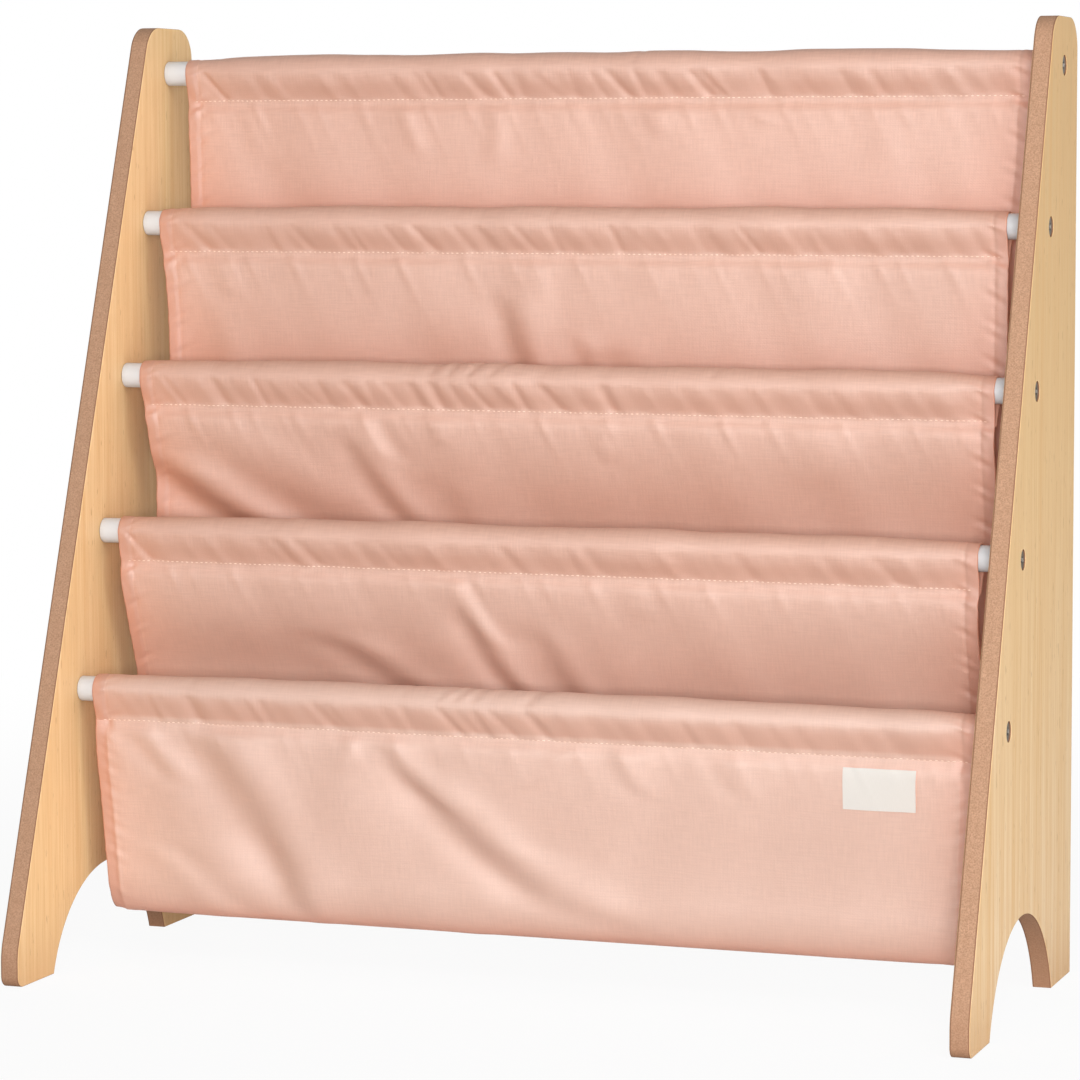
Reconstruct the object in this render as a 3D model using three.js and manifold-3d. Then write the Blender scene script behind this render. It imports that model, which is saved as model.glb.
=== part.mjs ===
// Sling bookshelf for a child's room: two side panels, five rods between them and one sewn cloth
// cover that hangs from the rods in four pockets. Millimetres, +Z up, the front faces -Y, and the
// origin lies on the floor under the middle of the whole shelf.
import * as THREE from "three";
import { mergeVertices } from "three/addons/utils/BufferGeometryUtils.js";
import Module from "manifold-3d";

const wasm = await Module();
wasm.setup();

// Overall sizes
const WIDTH = 616;
const DEPTH = 268;
const HEIGHT = 600;
const GAP = 0.3; // clearance between pieces that touch
const WELD = 0.0003; // points nearer than this are one
const OVERRUN = 2; // how far a cutter reaches past what it cuts

// Side panels of board with eased edges, an arch between two feet and a front that leans back
const PANEL_THICKNESS = 12;
const PANEL_TOP_DEPTH = 65.4; // from the rear edge to where the front edge would meet the top
const TOE_HEIGHT = 22; // where the leaning front edge meets the upright toe
const TOE_BLEND_RADIUS = 40;
const TOE_RADIUS = 7;
const TOP_RADIUS = 20;
const FRONT_FOOT_LENGTH = 49.5;
const REAR_FOOT_LENGTH = 53.5;
const ARCH_HEIGHT = 60;
const EDGE_EASE = 0.6;
const ARC_STEPS = { arch: 36, top: 10, blend: 4, toe: 6 };

// Rods: coated steel tubes in a row along the leaning front
const ROD_COUNT = 5;
const ROD_DIAMETER = 16;
const ROD_WALL = 1.2;
const ROD_INSET = 36.9; // square to the front edge
const ROD_DROP = 29.8; // first rod below the top
const ROD_PITCH = 104.3; // along the front edge
const ROD_SIDES = 24;

// Threaded plugs in the ends of each rod, and the bolts that hold the rods from outside
const PLUG_LENGTH = 20;
const PLUG_CHAMFER = 1;
const BOLT_DIAMETER = 6;
const BOLT_LENGTH = 26;
const BOLT_TIP = 1;
const BOLT_HEAD_DIAMETER = 12;
const BOLT_HEAD_HEIGHT = 3;
const BOLT_HEAD_EASE = 0.8;
const BOLT_HEAD_SINK = 0.7; // head below the panel's outer face
const SOCKET_ACROSS = 4;
const SOCKET_DEPTH = 1.8;
const SMALL_SIDES = 16;
const SOCKET_SIDES = 6;

// Cloth cover: a sleeve round each rod and a pocket between each two sleeves
const CLOTH = 1.2;
const COVER_SIDE_GAP = 13; // bare rod between the cover and a panel
const SLEEVE_SLACK = 2; // how far the loose middle of a sleeve stands off its rod
const SEAM_DROP = 20; // seam under the rod's axis
const SEAM_FORWARD = 6; // seam in front of the rod's axis
const SLEEVE_STATIONS = 4;
const SLEEVE_STEPS = 10;
const SLEEVE_TAUT_POWER = 6;
const NEST_STEP = 4.5; // between two pockets' walls where they part, middle to middle
const SIDE_DRAW_IN = 4; // side edges drawn in at the bottom of a pocket
const SEAM_FADE = 24; // folds die out this near to a seam
const BACK_ROWS = 5; // rows of cloth down to the level of the rod in front
const LOWER_ROWS = 4;
const BELLY_ROWS = 8;
const FRONT_ROWS = 8; // of the lowest pocket, whose front shows
const COLUMNS = 18;

// Each pocket from the top one down, measured from the axis of the rod in front of it: how far its
// back wall stands behind that rod, how deep its lowest line hangs, and the radius of its bottom
const POCKET_BACKS = [29, 34, 46, 48.5];
const POCKET_DROPS = [150, 150, 149, 144.5];
const POCKET_RADII = [13, 12, 14, 28];
const LOWEST_FRONT = 4; // where the lowest pocket's bottom ends in front, behind its rod's axis

// Soft folds in the cloth of each pocket: x as a share of half the cover's width, down as a share
// of the pocket's cloth from its upper seam, and long, wide and high as shares of the sizes here.
// High is out of the pocket, and turn is in degrees from upright.
const FOLD_LENGTH = 60;
const FOLD_WIDTH = 26;
const FOLD_HEIGHT = 2;
const FOLD_SHARES = [
  [
    { x: -0.76, down: 0.17, long: 1, wide: 1, high: 0.9, turn: 24 },
    { x: 0.14, down: 0.2, long: 1.15, wide: 1.15, high: -0.9, turn: -32 },
  ],
  [
    { x: -0.72, down: 0.2, long: 1, wide: 1, high: 1, turn: 30 },
    { x: 0.04, down: 0.2, long: 0.9, wide: 0.9, high: -1.1, turn: 34 },
    { x: 0.62, down: 0.19, long: 1, wide: 1.15, high: 0.8, turn: -26 },
  ],
  [
    { x: -0.78, down: 0.21, long: 1.15, wide: 1, high: -1.1, turn: 50 },
    { x: -0.39, down: 0.17, long: 1, wide: 0.9, high: 1, turn: 34 },
    { x: 0.46, down: 0.19, long: 1.15, wide: 1.3, high: 0.9, turn: 70 },
  ],
  [
    { x: -0.07, down: 0.13, long: 0.95, wide: 0.85, high: -1.5, turn: 36 },
    { x: 0.11, down: 0.14, long: 0.85, wide: 0.85, high: 1.2, turn: 30 },
    { x: -0.67, down: 0.15, long: 1, wide: 1.1, high: -1, turn: 40 },
    { x: -0.22, down: 0.8, long: 1.25, wide: 0.85, high: 1.5, turn: -42 },
    { x: 0.13, down: 0.77, long: 1, wide: 0.9, high: -1.2, turn: -30 },
    { x: -0.76, down: 0.76, long: 1, wide: 1.1, high: -1.1, turn: -36 },
  ],
];

// Bare woven label on the front of the lowest pocket
const LABEL_WIDTH = 43;
const LABEL_HEIGHT = 25;
const LABEL_THICKNESS = 0.6;
const LABEL_INSET = 55; // from the cover's side edge to the middle of the label
const LABEL_BELOW_SEAM = 18.5; // cloth between the seam's middle line and the middle of the label
const LABEL_COLUMNS = 4;
const LABEL_ROWS = 3;

// Sizes worked out from the ones above
const FRONT_Y = -DEPTH / 2;
const REAR_Y = DEPTH / 2;
const TOP_FRONT_Y = REAR_Y - PANEL_TOP_DEPTH;
const LEAN = Math.atan2(TOP_FRONT_Y - FRONT_Y, HEIGHT - TOE_HEIGHT);
const PANEL_INNER_X = WIDTH / 2 - PANEL_THICKNESS;
const ROD_RADIUS = ROD_DIAMETER / 2;
const ROD_HALF_LENGTH = PANEL_INNER_X - GAP;
const BOLT_RADIUS = BOLT_DIAMETER / 2;
const HEAD_RADIUS = BOLT_HEAD_DIAMETER / 2;
const COVER_HALF = PANEL_INNER_X - COVER_SIDE_GAP;
const LAYER_STEP = CLOTH + 2 * GAP;
const LOWEST = ROD_COUNT - 2; // the lowest pocket, counting from zero

const MATERIALS = {
  board: finish("board with a light wood foil", "#e3c698", 0.5, 0),
  rod: finish("white powder coat", "#f2f1ee", 0.38, 0.1),
  plug: finish("grey moulded plastic", "#8b8d90", 0.55, 0),
  bolt: finish("zinc plated steel", "#a9a7a2", 0.35, 0.9),
  cloth: finish("peach woven polyester", "#e5b39c", 0.82, 0),
  label: finish("cream woven label", "#efe6d8", 0.9, 0),
};

const shelf = new THREE.Group();

function finish(name, colour, roughness, metalness) {
  return new THREE.MeshStandardMaterial({ name, color: colour, roughness, metalness });
}

function addPiece(name, geometry, material) {
  const mesh = new THREE.Mesh(geometry, material);
  mesh.name = name;
  shelf.add(mesh);
  return mesh;
}

// A closed geometry as a solid that can be cut
function toSolid(geometry) {
  const bare = geometry.clone();
  bare.deleteAttribute("normal");
  bare.deleteAttribute("uv");
  const merged = mergeVertices(bare, WELD);
  const index = merged.index.array;
  const faces = [];
  for (let i = 0; i < index.length; i += 3) {
    const [a, b, c] = index.slice(i, i + 3);
    if (a !== b && b !== c && c !== a) faces.push(a, b, c);
  }
  return new wasm.Manifold(new wasm.Mesh({
    numProp: 3,
    vertProperties: merged.attributes.position.array,
    triVerts: new Uint32Array(faces),
  }));
}

function toGeometry(solid) {
  const mesh = solid.getMesh();
  const geometry = new THREE.BufferGeometry();
  geometry.setAttribute("position", new THREE.BufferAttribute(mesh.vertProperties, 3));
  geometry.setIndex(new THREE.BufferAttribute(mesh.triVerts, 1));
  geometry.computeVertexNormals();
  return geometry;
}

// A round solid on the X axis from [radius, x] pairs, which start and end on the axis or make a ring
function turned(pairs, sides) {
  const geometry = new THREE.LatheGeometry(pairs.map(([r, x]) => new THREE.Vector2(r, x)), sides);
  return toSolid(geometry.rotateZ(-Math.PI / 2));
}

function placed(solid, x, y, z) {
  return solid.translate([x, y, z]);
}

// Points on an arc of the side view, from one angle to another
function arc(y, z, radius, from, to, steps) {
  return Array.from({ length: steps + 1 }, (_, i) => {
    const angle = from + ((to - from) * i) / steps;
    return new THREE.Vector2(y + radius * Math.cos(angle), z + radius * Math.sin(angle));
  });
}

// The panel's front edge, as its y at a height
function frontEdge(z) {
  return FRONT_Y + (z - TOE_HEIGHT) * Math.tan(LEAN);
}

// Rod axes from the top one down, as points of the side view
function rodAxis(i) {
  const z = HEIGHT - ROD_DROP - i * ROD_PITCH * Math.cos(LEAN);
  return new THREE.Vector2(frontEdge(z) + ROD_INSET / Math.cos(LEAN), z);
}

function panelOutline() {
  const half = (DEPTH - FRONT_FOOT_LENGTH - REAR_FOOT_LENGTH) / 2;
  const archRadius = (half * half + ARCH_HEIGHT * ARCH_HEIGHT) / (2 * ARCH_HEIGHT);
  const archY = REAR_Y - REAR_FOOT_LENGTH - half;
  const archZ = ARCH_HEIGHT - archRadius;
  const spring = Math.asin(-archZ / archRadius);
  const right = Math.PI / 2;
  const blendRun = TOE_BLEND_RADIUS * Math.tan(LEAN / 2);
  const topY = frontEdge(HEIGHT) + TOP_RADIUS * Math.tan((right - LEAN) / 2);
  return [
    ...arc(FRONT_Y + TOE_RADIUS, TOE_RADIUS, TOE_RADIUS, 2 * right, 3 * right, ARC_STEPS.toe),
    ...arc(archY, archZ, archRadius, 2 * right - spring, spring, ARC_STEPS.arch),
    new THREE.Vector2(REAR_Y, 0),
    ...arc(REAR_Y - TOP_RADIUS, HEIGHT - TOP_RADIUS, TOP_RADIUS, 0, right, ARC_STEPS.top),
    ...arc(topY, HEIGHT - TOP_RADIUS, TOP_RADIUS, right, 2 * right - LEAN, ARC_STEPS.top),
    ...arc(FRONT_Y + TOE_BLEND_RADIUS, TOE_HEIGHT - blendRun, TOE_BLEND_RADIUS,
      2 * right - LEAN, 2 * right, ARC_STEPS.blend),
  ];
}

// What a bolt's hole takes out of the left panel, whose outer face lies at x = 0 here
function boltCutter() {
  const seat = BOLT_HEAD_SINK + BOLT_HEAD_HEIGHT + GAP;
  return turned([
    [0, -OVERRUN],
    [HEAD_RADIUS + GAP, -OVERRUN],
    [HEAD_RADIUS + GAP, seat],
    [BOLT_RADIUS + GAP, seat],
    [BOLT_RADIUS + GAP, PANEL_THICKNESS + OVERRUN],
    [0, PANEL_THICKNESS + OVERRUN],
  ], SMALL_SIDES);
}

function leftPanel() {
  const board = new THREE.ExtrudeGeometry(new THREE.Shape(panelOutline()), {
    depth: PANEL_THICKNESS - 2 * EDGE_EASE,
    bevelThickness: EDGE_EASE,
    bevelSize: EDGE_EASE,
    bevelOffset: -EDGE_EASE,
    bevelSegments: 1,
  });
  const sideView = new THREE.Matrix4().makeBasis(
    new THREE.Vector3(0, 1, 0), new THREE.Vector3(0, 0, 1), new THREE.Vector3(1, 0, 0));
  board.applyMatrix4(sideView);
  let solid = placed(toSolid(board), EDGE_EASE - WIDTH / 2, 0, 0);
  const cutter = boltCutter();
  for (let i = 0; i < ROD_COUNT; i++) {
    const axis = rodAxis(i);
    solid = solid.subtract(placed(cutter, -WIDTH / 2, axis.x, axis.y));
  }
  return solid;
}

// Half a rod's fittings, drawn at the left end and mirrored for the right one
function leftPlug() {
  const outer = ROD_RADIUS - ROD_WALL - GAP;
  const bore = BOLT_RADIUS + GAP;
  return turned([
    [bore, 0],
    [outer, 0],
    [outer, PLUG_LENGTH - PLUG_CHAMFER],
    [outer - PLUG_CHAMFER, PLUG_LENGTH],
    [bore, PLUG_LENGTH],
    [bore, 0],
  ], SMALL_SIDES);
}

function leftBolt() {
  const body = turned([
    [0, 0],
    [HEAD_RADIUS - BOLT_HEAD_EASE, 0],
    [HEAD_RADIUS, BOLT_HEAD_EASE],
    [HEAD_RADIUS, BOLT_HEAD_HEIGHT],
    [BOLT_RADIUS, BOLT_HEAD_HEIGHT],
    [BOLT_RADIUS, BOLT_LENGTH - BOLT_TIP],
    [BOLT_RADIUS - BOLT_TIP, BOLT_LENGTH],
    [0, BOLT_LENGTH],
  ], SMALL_SIDES);
  const socketRadius = SOCKET_ACROSS / Math.sqrt(3);
  const socket = turned([
    [0, -OVERRUN],
    [socketRadius, -OVERRUN],
    [socketRadius, SOCKET_DEPTH],
    [0, SOCKET_DEPTH],
  ], SOCKET_SIDES);
  return body.subtract(socket);
}

function rod() {
  const inner = ROD_RADIUS - ROD_WALL;
  return turned([
    [inner, -ROD_HALF_LENGTH],
    [ROD_RADIUS, -ROD_HALF_LENGTH],
    [ROD_RADIUS, ROD_HALF_LENGTH],
    [inner, ROD_HALF_LENGTH],
    [inner, -ROD_HALF_LENGTH],
  ], ROD_SIDES);
}

// A closed geometry over a grid of rings: ring(i) gives the closed loop of points at station i
function loft(stations, ring, capped) {
  const loops = Array.from({ length: stations + 1 }, (_, i) => ring(i));
  const count = loops[0].length;
  const at = (i, j) => i * count + (j % count);
  const faces = [];
  for (let i = 0; i < stations; i++) {
    for (let j = 0; j < count; j++) {
      faces.push(at(i, j), at(i + 1, j), at(i + 1, j + 1));
      faces.push(at(i, j), at(i + 1, j + 1), at(i, j + 1));
    }
  }
  for (const [a, b, c] of capped(count)) {
    faces.push(at(0, a), at(0, b), at(0, c));
    faces.push(at(stations, a), at(stations, c), at(stations, b));
  }
  const geometry = new THREE.BufferGeometry().setFromPoints(loops.flat());
  geometry.setIndex(faces);
  geometry.computeVertexNormals();
  return geometry;
}

// The end caps of a sheet whose loop runs down one side and back up the other
function sheetCap(count) {
  const half = count / 2;
  const cap = [];
  for (let j = 0; j < half - 1; j++) {
    cap.push([j, j + 1, count - 2 - j], [j, count - 2 - j, count - 1 - j]);
  }
  return cap;
}

// A sleeve's section round a rod at the origin: over the rod, and straight down to the seam
// from where its two walls leave the round of the rod
function sleeveRing(slack, grow) {
  const radius = ROD_RADIUS + GAP + slack + grow;
  const seamZ = CLOTH - grow - SEAM_DROP;
  const tips = [-1, 1].map((side) => new THREE.Vector2(side * (GAP / 2 + grow) - SEAM_FORWARD, seamZ));
  const leave = tips.map((tip, k) => tip.angle() + (2 * k - 1) * Math.acos(radius / tip.length()));
  return [tips[0], ...arc(0, 0, radius, leave[0], leave[1] - 2 * Math.PI, SLEEVE_STEPS), tips[1]];
}

function sleeve(i) {
  const axis = rodAxis(i);
  const slackAt = (x) => SLEEVE_SLACK * (1 - Math.abs(x / COVER_HALF) ** SLEEVE_TAUT_POWER);
  const stationX = (k) => COVER_HALF * Math.sin((k / SLEEVE_STATIONS - 1 / 2) * Math.PI);
  const rings = (k, grow) => sleeveRing(slackAt(stationX(k)), grow)
    .map((p) => new THREE.Vector3(stationX(k), axis.x + p.x, axis.y + p.y));
  const stations = Array.from({ length: SLEEVE_STATIONS + 1 }, (_, k) => [rings(k, CLOTH), rings(k, 0)]);
  return tube(stations);
}

// A tube with a wall: each station holds its outer and its inner ring
function tube(stations) {
  const count = stations[0][0].length;
  const last = stations.length - 1;
  const at = (k, side, j) => (k * 2 + side) * count + (j % count);
  const faces = [];
  const quad = (a, b, c, d) => faces.push(a, c, b, a, d, c);
  for (let j = 0; j < count; j++) {
    for (let k = 0; k < last; k++) {
      quad(at(k, 0, j), at(k, 0, j + 1), at(k + 1, 0, j + 1), at(k + 1, 0, j));
      quad(at(k, 1, j), at(k + 1, 1, j), at(k + 1, 1, j + 1), at(k, 1, j + 1));
    }
    quad(at(0, 0, j), at(0, 1, j), at(0, 1, j + 1), at(0, 0, j + 1));
    quad(at(last, 0, j), at(last, 0, j + 1), at(last, 1, j + 1), at(last, 1, j));
  }
  const geometry = new THREE.BufferGeometry().setFromPoints(stations.flat(2));
  geometry.setIndex(faces);
  geometry.computeVertexNormals();
  return geometry;
}

// Cloth hanging from one point to another: lean is its run in y for each step of z at either end
function hang(from, to, leanFrom, leanTo) {
  const third = (to.y - from.y) / 3;
  return new THREE.CubicBezierCurve(
    from,
    new THREE.Vector2(from.x + leanFrom * third, from.y + third),
    new THREE.Vector2(to.x - leanTo * third, to.y - third),
    to,
  );
}

// A hanging curve's y at a height: its height changes evenly along it
function hangsAt(curve, z) {
  return curve.getPoint((z - curve.v0.y) / (curve.v3.y - curve.v0.y)).x;
}

// The stretches of a pocket's middle line, from its upper seam round its bottom to the seam in
// front. The bottom ends just behind the next pocket, or in the lowest pocket at its own place.
function pocketCurves(i) {
  const radius = POCKET_RADII[i];
  const front = rodAxis(i + 1);
  const seam = new THREE.Vector2(-SEAM_FORWARD, -SEAM_DROP - GAP);
  const bottomZ = front.y - POCKET_DROPS[i] + radius;
  const bellyFrontY = i === LOWEST
    ? front.x + LOWEST_FRONT
    : hangsAt(pocketCurves(i + 1).backLower, bottomZ) + NEST_STEP;
  const bellyY = bellyFrontY + radius;
  const backMid = new THREE.Vector2(front.x + POCKET_BACKS[i], front.y);
  const bellyRear = new THREE.Vector2(bellyY + radius, bottomZ);
  const lean = (bellyRear.x - backMid.x) / (bellyRear.y - backMid.y);
  return {
    backUpper: hang(rodAxis(i).add(seam), backMid, 0, lean),
    backLower: hang(backMid, bellyRear, lean, 0),
    belly: new THREE.EllipseCurve(bellyY, bottomZ, radius, radius, 0, -Math.PI, true),
    wall: hang(new THREE.Vector2(bellyFrontY, bottomZ), front.clone().add(seam), 0, 0),
  };
}

// Rows along a pocket's stretches: each has its place, its side out of the pocket and what the
// folds add there, which is less within reach of a seam
function pocketStretches(i) {
  const { backUpper, backLower, belly, wall } = pocketCurves(i);
  const curves = [backUpper, backLower, belly, wall];
  const steps = [BACK_ROWS, LOWER_ROWS, BELLY_ROWS, FRONT_ROWS];
  const total = curves.reduce((sum, curve) => sum + curve.getLength(), 0);
  let before = 0;
  return curves.map((curve, part) => {
    const start = before;
    before += curve.getLength();
    return Array.from({ length: steps[part] + 1 }, (_, k) => {
      const share = k / steps[part];
      const along = curve.getTangentAt(share);
      const down = start + share * curve.getLength();
      return {
        point: curve.getPointAt(share),
        out: new THREE.Vector2(-along.y, along.x),
        push: (x) => foldHeight(FOLD_SHARES[i], x, down, total),
      };
    });
  });
}

// The front wall of a pocket behind the next one's back wall, layer on layer at their seam
function nestedRows(i) {
  const [next] = pocketStretches(i + 1);
  return next.map((row, k) => {
    const apart = LAYER_STEP + (NEST_STEP - LAYER_STEP) * Math.sin((Math.PI / 2 * k) / BACK_ROWS);
    const point = row.point.clone().addScaledVector(row.out, apart);
    return { point, out: row.out.clone().negate(), push: (x) => -row.push(x) };
  }).reverse();
}

// All rows of a pocket from its upper seam to its lower one, with the length of cloth so far
function pocketRows(i) {
  const [upper, lower, belly, wall] = pocketStretches(i);
  const front = i === LOWEST ? wall.slice(1) : nestedRows(i);
  const rows = [...upper, ...lower.slice(1), ...belly.slice(1), ...front];
  rows.forEach((row, k) => {
    row.down = k ? rows[k - 1].down + row.point.distanceTo(rows[k - 1].point) : 0;
  });
  return rows;
}

// How far folds push the cloth out at x and at a length of cloth from the upper seam
function foldHeight(folds, x, down, total) {
  const fade = THREE.MathUtils.smoothstep(Math.min(down, total - down), 0, SEAM_FADE);
  return fade * folds.reduce((height, fold) => {
    const turn = THREE.MathUtils.degToRad(fold.turn);
    const dx = x - fold.x * COVER_HALF;
    const ds = down - fold.down * total;
    const along = (ds * Math.cos(turn) + dx * Math.sin(turn)) / (fold.long * FOLD_LENGTH);
    const across = (dx * Math.cos(turn) - ds * Math.sin(turn)) / (fold.wide * FOLD_WIDTH);
    return height + fold.high * FOLD_HEIGHT * Math.exp(-(along ** 2) - across ** 2);
  }, 0);
}

// A point of a pocket's cloth, at a share of its half width and pushed out by its folds and an offset
function clothPoint(row, total, share, offset) {
  const low = Math.sin((Math.PI * row.down) / total) ** 2;
  const x = share * (COVER_HALF - SIDE_DRAW_IN * low);
  const out = row.push(x) + offset;
  return new THREE.Vector3(x, row.point.x + row.out.x * out, row.point.y + row.out.y * out);
}

// A sheet over the given rows, from one offset to another and between two shares of the half width
function sheet(rows, total, columns, shares, offsets) {
  return loft(columns, (c) => {
    const share = shares[0] + ((shares[1] - shares[0]) * c) / columns;
    const [near, far] = offsets.map((offset) => rows.map((row) => clothPoint(row, total, share, offset)));
    return [...far, ...near.reverse()];
  }, sheetCap);
}

function pocketPanel(i) {
  const rows = pocketRows(i);
  return sheet(rows, rows.at(-1).down, COLUMNS, [-1, 1], [-CLOTH / 2, CLOTH / 2]);
}

// The label follows the cloth that it is sewn to
function label() {
  const rows = pocketRows(LOWEST);
  const total = rows.at(-1).down;
  const labelRows = Array.from({ length: LABEL_ROWS + 1 }, (_, k) => {
    const down = total - LABEL_BELOW_SEAM + LABEL_HEIGHT * (k / LABEL_ROWS - 1 / 2);
    const next = rows.findIndex((row) => row.down >= down);
    const [a, b] = [rows[next - 1], rows[next]];
    const t = (down - a.down) / (b.down - a.down);
    return {
      point: a.point.clone().lerp(b.point, t),
      out: a.out.clone().lerp(b.out, t),
      push: (x) => THREE.MathUtils.lerp(a.push(x), b.push(x), t),
      down,
    };
  });
  const half = LABEL_WIDTH / 2;
  const middle = COVER_HALF - LABEL_INSET;
  const shares = [middle - half, middle + half].map((x) => x / COVER_HALF);
  const near = CLOTH / 2 + GAP;
  return sheet(labelRows, total, LABEL_COLUMNS, shares, [near, near + LABEL_THICKNESS]);
}

// The whole shelf
const mirror = [1, 0, 0];
const panel = leftPanel();
addPiece("left_side_panel", toGeometry(panel), MATERIALS.board);
addPiece("right_side_panel", toGeometry(panel.mirror(mirror)), MATERIALS.board);

const rodSolid = rod();
const plugSolid = leftPlug();
const boltSolid = leftBolt();
for (let i = 0; i < ROD_COUNT; i++) {
  const axis = rodAxis(i);
  const number = i + 1;
  const plug = placed(plugSolid, -ROD_HALF_LENGTH, axis.x, axis.y);
  const bolt = placed(boltSolid, BOLT_HEAD_SINK - WIDTH / 2, axis.x, axis.y);
  addPiece(`rod_${number}`, toGeometry(placed(rodSolid, 0, axis.x, axis.y)), MATERIALS.rod);
  addPiece(`left_plug_${number}`, toGeometry(plug), MATERIALS.plug);
  addPiece(`right_plug_${number}`, toGeometry(plug.mirror(mirror)), MATERIALS.plug);
  addPiece(`left_bolt_${number}`, toGeometry(bolt), MATERIALS.bolt);
  addPiece(`right_bolt_${number}`, toGeometry(bolt.mirror(mirror)), MATERIALS.bolt);
  addPiece(`sleeve_${number}`, sleeve(i), MATERIALS.cloth);
}
for (let i = 0; i <= LOWEST; i++) addPiece(`pocket_${i + 1}`, pocketPanel(i), MATERIALS.cloth);
addPiece("blank_label", label(), MATERIALS.label);

export default shelf;
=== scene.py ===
"""Looks of the sling bookshelf: sewn cover, rods, bolts, side panels, label and a plain stage."""
import math

import bpy
import numpy as np
from mathutils import Matrix, Vector
from mathutils.geometry import tessellate_polygon


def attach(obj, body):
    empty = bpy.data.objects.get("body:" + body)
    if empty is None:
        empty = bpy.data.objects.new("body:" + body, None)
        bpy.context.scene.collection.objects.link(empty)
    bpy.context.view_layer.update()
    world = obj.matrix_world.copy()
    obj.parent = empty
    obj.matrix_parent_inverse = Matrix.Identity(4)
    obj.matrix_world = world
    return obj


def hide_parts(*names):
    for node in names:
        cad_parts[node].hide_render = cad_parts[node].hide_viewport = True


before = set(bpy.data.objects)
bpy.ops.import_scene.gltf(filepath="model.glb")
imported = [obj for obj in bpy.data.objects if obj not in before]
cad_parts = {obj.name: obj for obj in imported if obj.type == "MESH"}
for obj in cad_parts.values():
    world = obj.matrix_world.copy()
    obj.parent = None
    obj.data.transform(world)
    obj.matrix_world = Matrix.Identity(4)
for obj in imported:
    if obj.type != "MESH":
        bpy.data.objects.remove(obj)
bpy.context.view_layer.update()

bl_info = {
    "name": "Sling Bookshelf",
    "version": (1, 0, 0),
    "blender": (4, 5, 0),
    "location": "3D View > Sidebar > Bookshelf",
    "description": "Builds the cloth, rods, bolts and panels of a sling bookshelf",
    "category": "Object",
}

MM = 0.001  # shapes are worked out in millimetres and stored in metres

# Overall sizes, as in the part's source
WIDTH, DEPTH, HEIGHT = 616, 268, 600
GAP = 0.3
PANEL_THICKNESS = 12
PANEL_TOP_DEPTH = 65.4
TOE_HEIGHT = 22
TOE_BLEND_RADIUS = 40
TOE_RADIUS = 7
TOP_RADIUS = 20
FRONT_FOOT_LENGTH = 49.5
REAR_FOOT_LENGTH = 53.5
ARCH_HEIGHT = 60

# Rods and their fittings
ROD_COUNT = 5
ROD_RADIUS = 8
ROD_WALL = 1.2
ROD_INSET = 36.9
ROD_DROP = 29.8
ROD_PITCH = 104.3
ROD_END_ROUND = 0.35
BOLT_RADIUS = 3
BOLT_LENGTH = 26
HEAD_RADIUS = 6
HEAD_HEIGHT = 3
HEAD_SINK = 0.7
SOCKET_ACROSS = 4
SOCKET_DEPTH = 1.8

# Cover
COVER_SIDE_GAP = 13
CLOTH = 1.2
SLEEVE_SLACK = 2
SEAM_DROP = 20
SEAM_FORWARD = 6
NEST_STEP = 4.5
SIDE_DRAW_IN = 4
POCKET_BACKS = (29, 34, 46, 48.5)
POCKET_DROPS = (150, 150, 149, 144.5)
POCKET_RADII = (13, 12, 14, 28)
LOWEST_FRONT = 4
LOWEST = ROD_COUNT - 2
FRONT_SHARE = 0.24  # how much of a pocket's depth lies before its lowest point
CORNER_LIFT = 1.5  # how far the stiff hems lift the ends of a pocket's bottom
LAYER_STEP = CLOTH + 2 * GAP
FRONT_TIP = (-GAP / 2 - CLOTH / 2 - SEAM_FORWARD, CLOTH / 2 - SEAM_DROP)  # a front seam from its rod
PINCH = 2.8  # how far the stitches pull a seam in
PINCH_ABOVE, PINCH_BELOW = 10, 5  # cloth over which it eases out
BACK_ROWS, LOWER_ROWS, FRONT_ROWS = 46, 6, 46
BELLY_ROWS, LOWEST_BELLY_ROWS = 10, 26
SLEEVE_ROWS = (6, 36, 12)  # up the rear wall, round the rod and down the front wall
HEM_STEP, COLUMN_STEP, LOWEST_COLUMN_STEP = 0.9, 1.8, 2.3
HANDOVER_START, HANDOVER_END = 150, 90  # cloth before the next seam where that seam's slip takes over
BACK_RUN_ON = 30  # cloth past a back wall's end where its folds have died away
FRONT_FOLD_LENGTH = 150  # cloth from the lowest seam to where the front wall's folds have died away
FRONT_FOLD_ROWS = FRONT_ROWS + 12
NEST_ROWS = 12
NEST_RUN_ON = 90  # cloth past the nested rows where the folds have died away
JOIN = 14  # cloth over which the lowest front wall bends to meet its sleeve
LIFT_DOWN, LIFT_ACROSS = 30, 13  # how far a bottom's lifted corner reaches round it and across it

# How far the hems have slipped to the right along the rods, the left hem's and then the right one's:
# round the sleeve, just under its seam and low on the wall. The last row is the lowest pocket's front
SIDE_SLIDES = (
    ((3.3, 4.6, 3.6), (7.4, 5.6, 3.0)), ((-0.5, 3.1, 1.0), (-0.4, 0, 0)), ((0.9, 4.6, 1.8), (0.7, 0, 0)),
    ((0.8, 1.7, 0), (-0.3, -1.2, -0.6)), ((-1.1, -0.8, -0.4), (7.2, 5.6, 3.6)),
)

# Label
LABEL_WIDTH = 43
LABEL_HEIGHT = 25
LABEL_INSET = 55
LABEL_BELOW_SEAM = 18.5
LABEL_ROWS, LABEL_COLUMNS = 24, 40
LABEL_CLEARANCE = 0.15

# Fineness of turned pieces and of stitches, and the floor's size
FITTING_SIDES, ROD_SIDES = 48, 64
BEAD_RINGS, BEAD_SIDES = 5, 6
CORNER_REACH, CORNER_SAMPLES = 0.06, 6  # metres and rays with which a material feels how closed in it is
HEM_STITCH_SINK = 0.27
FLOOR_HALF, FLOOR_LINES, FLOOR_GAP = 14000, 9, 0.3

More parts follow.
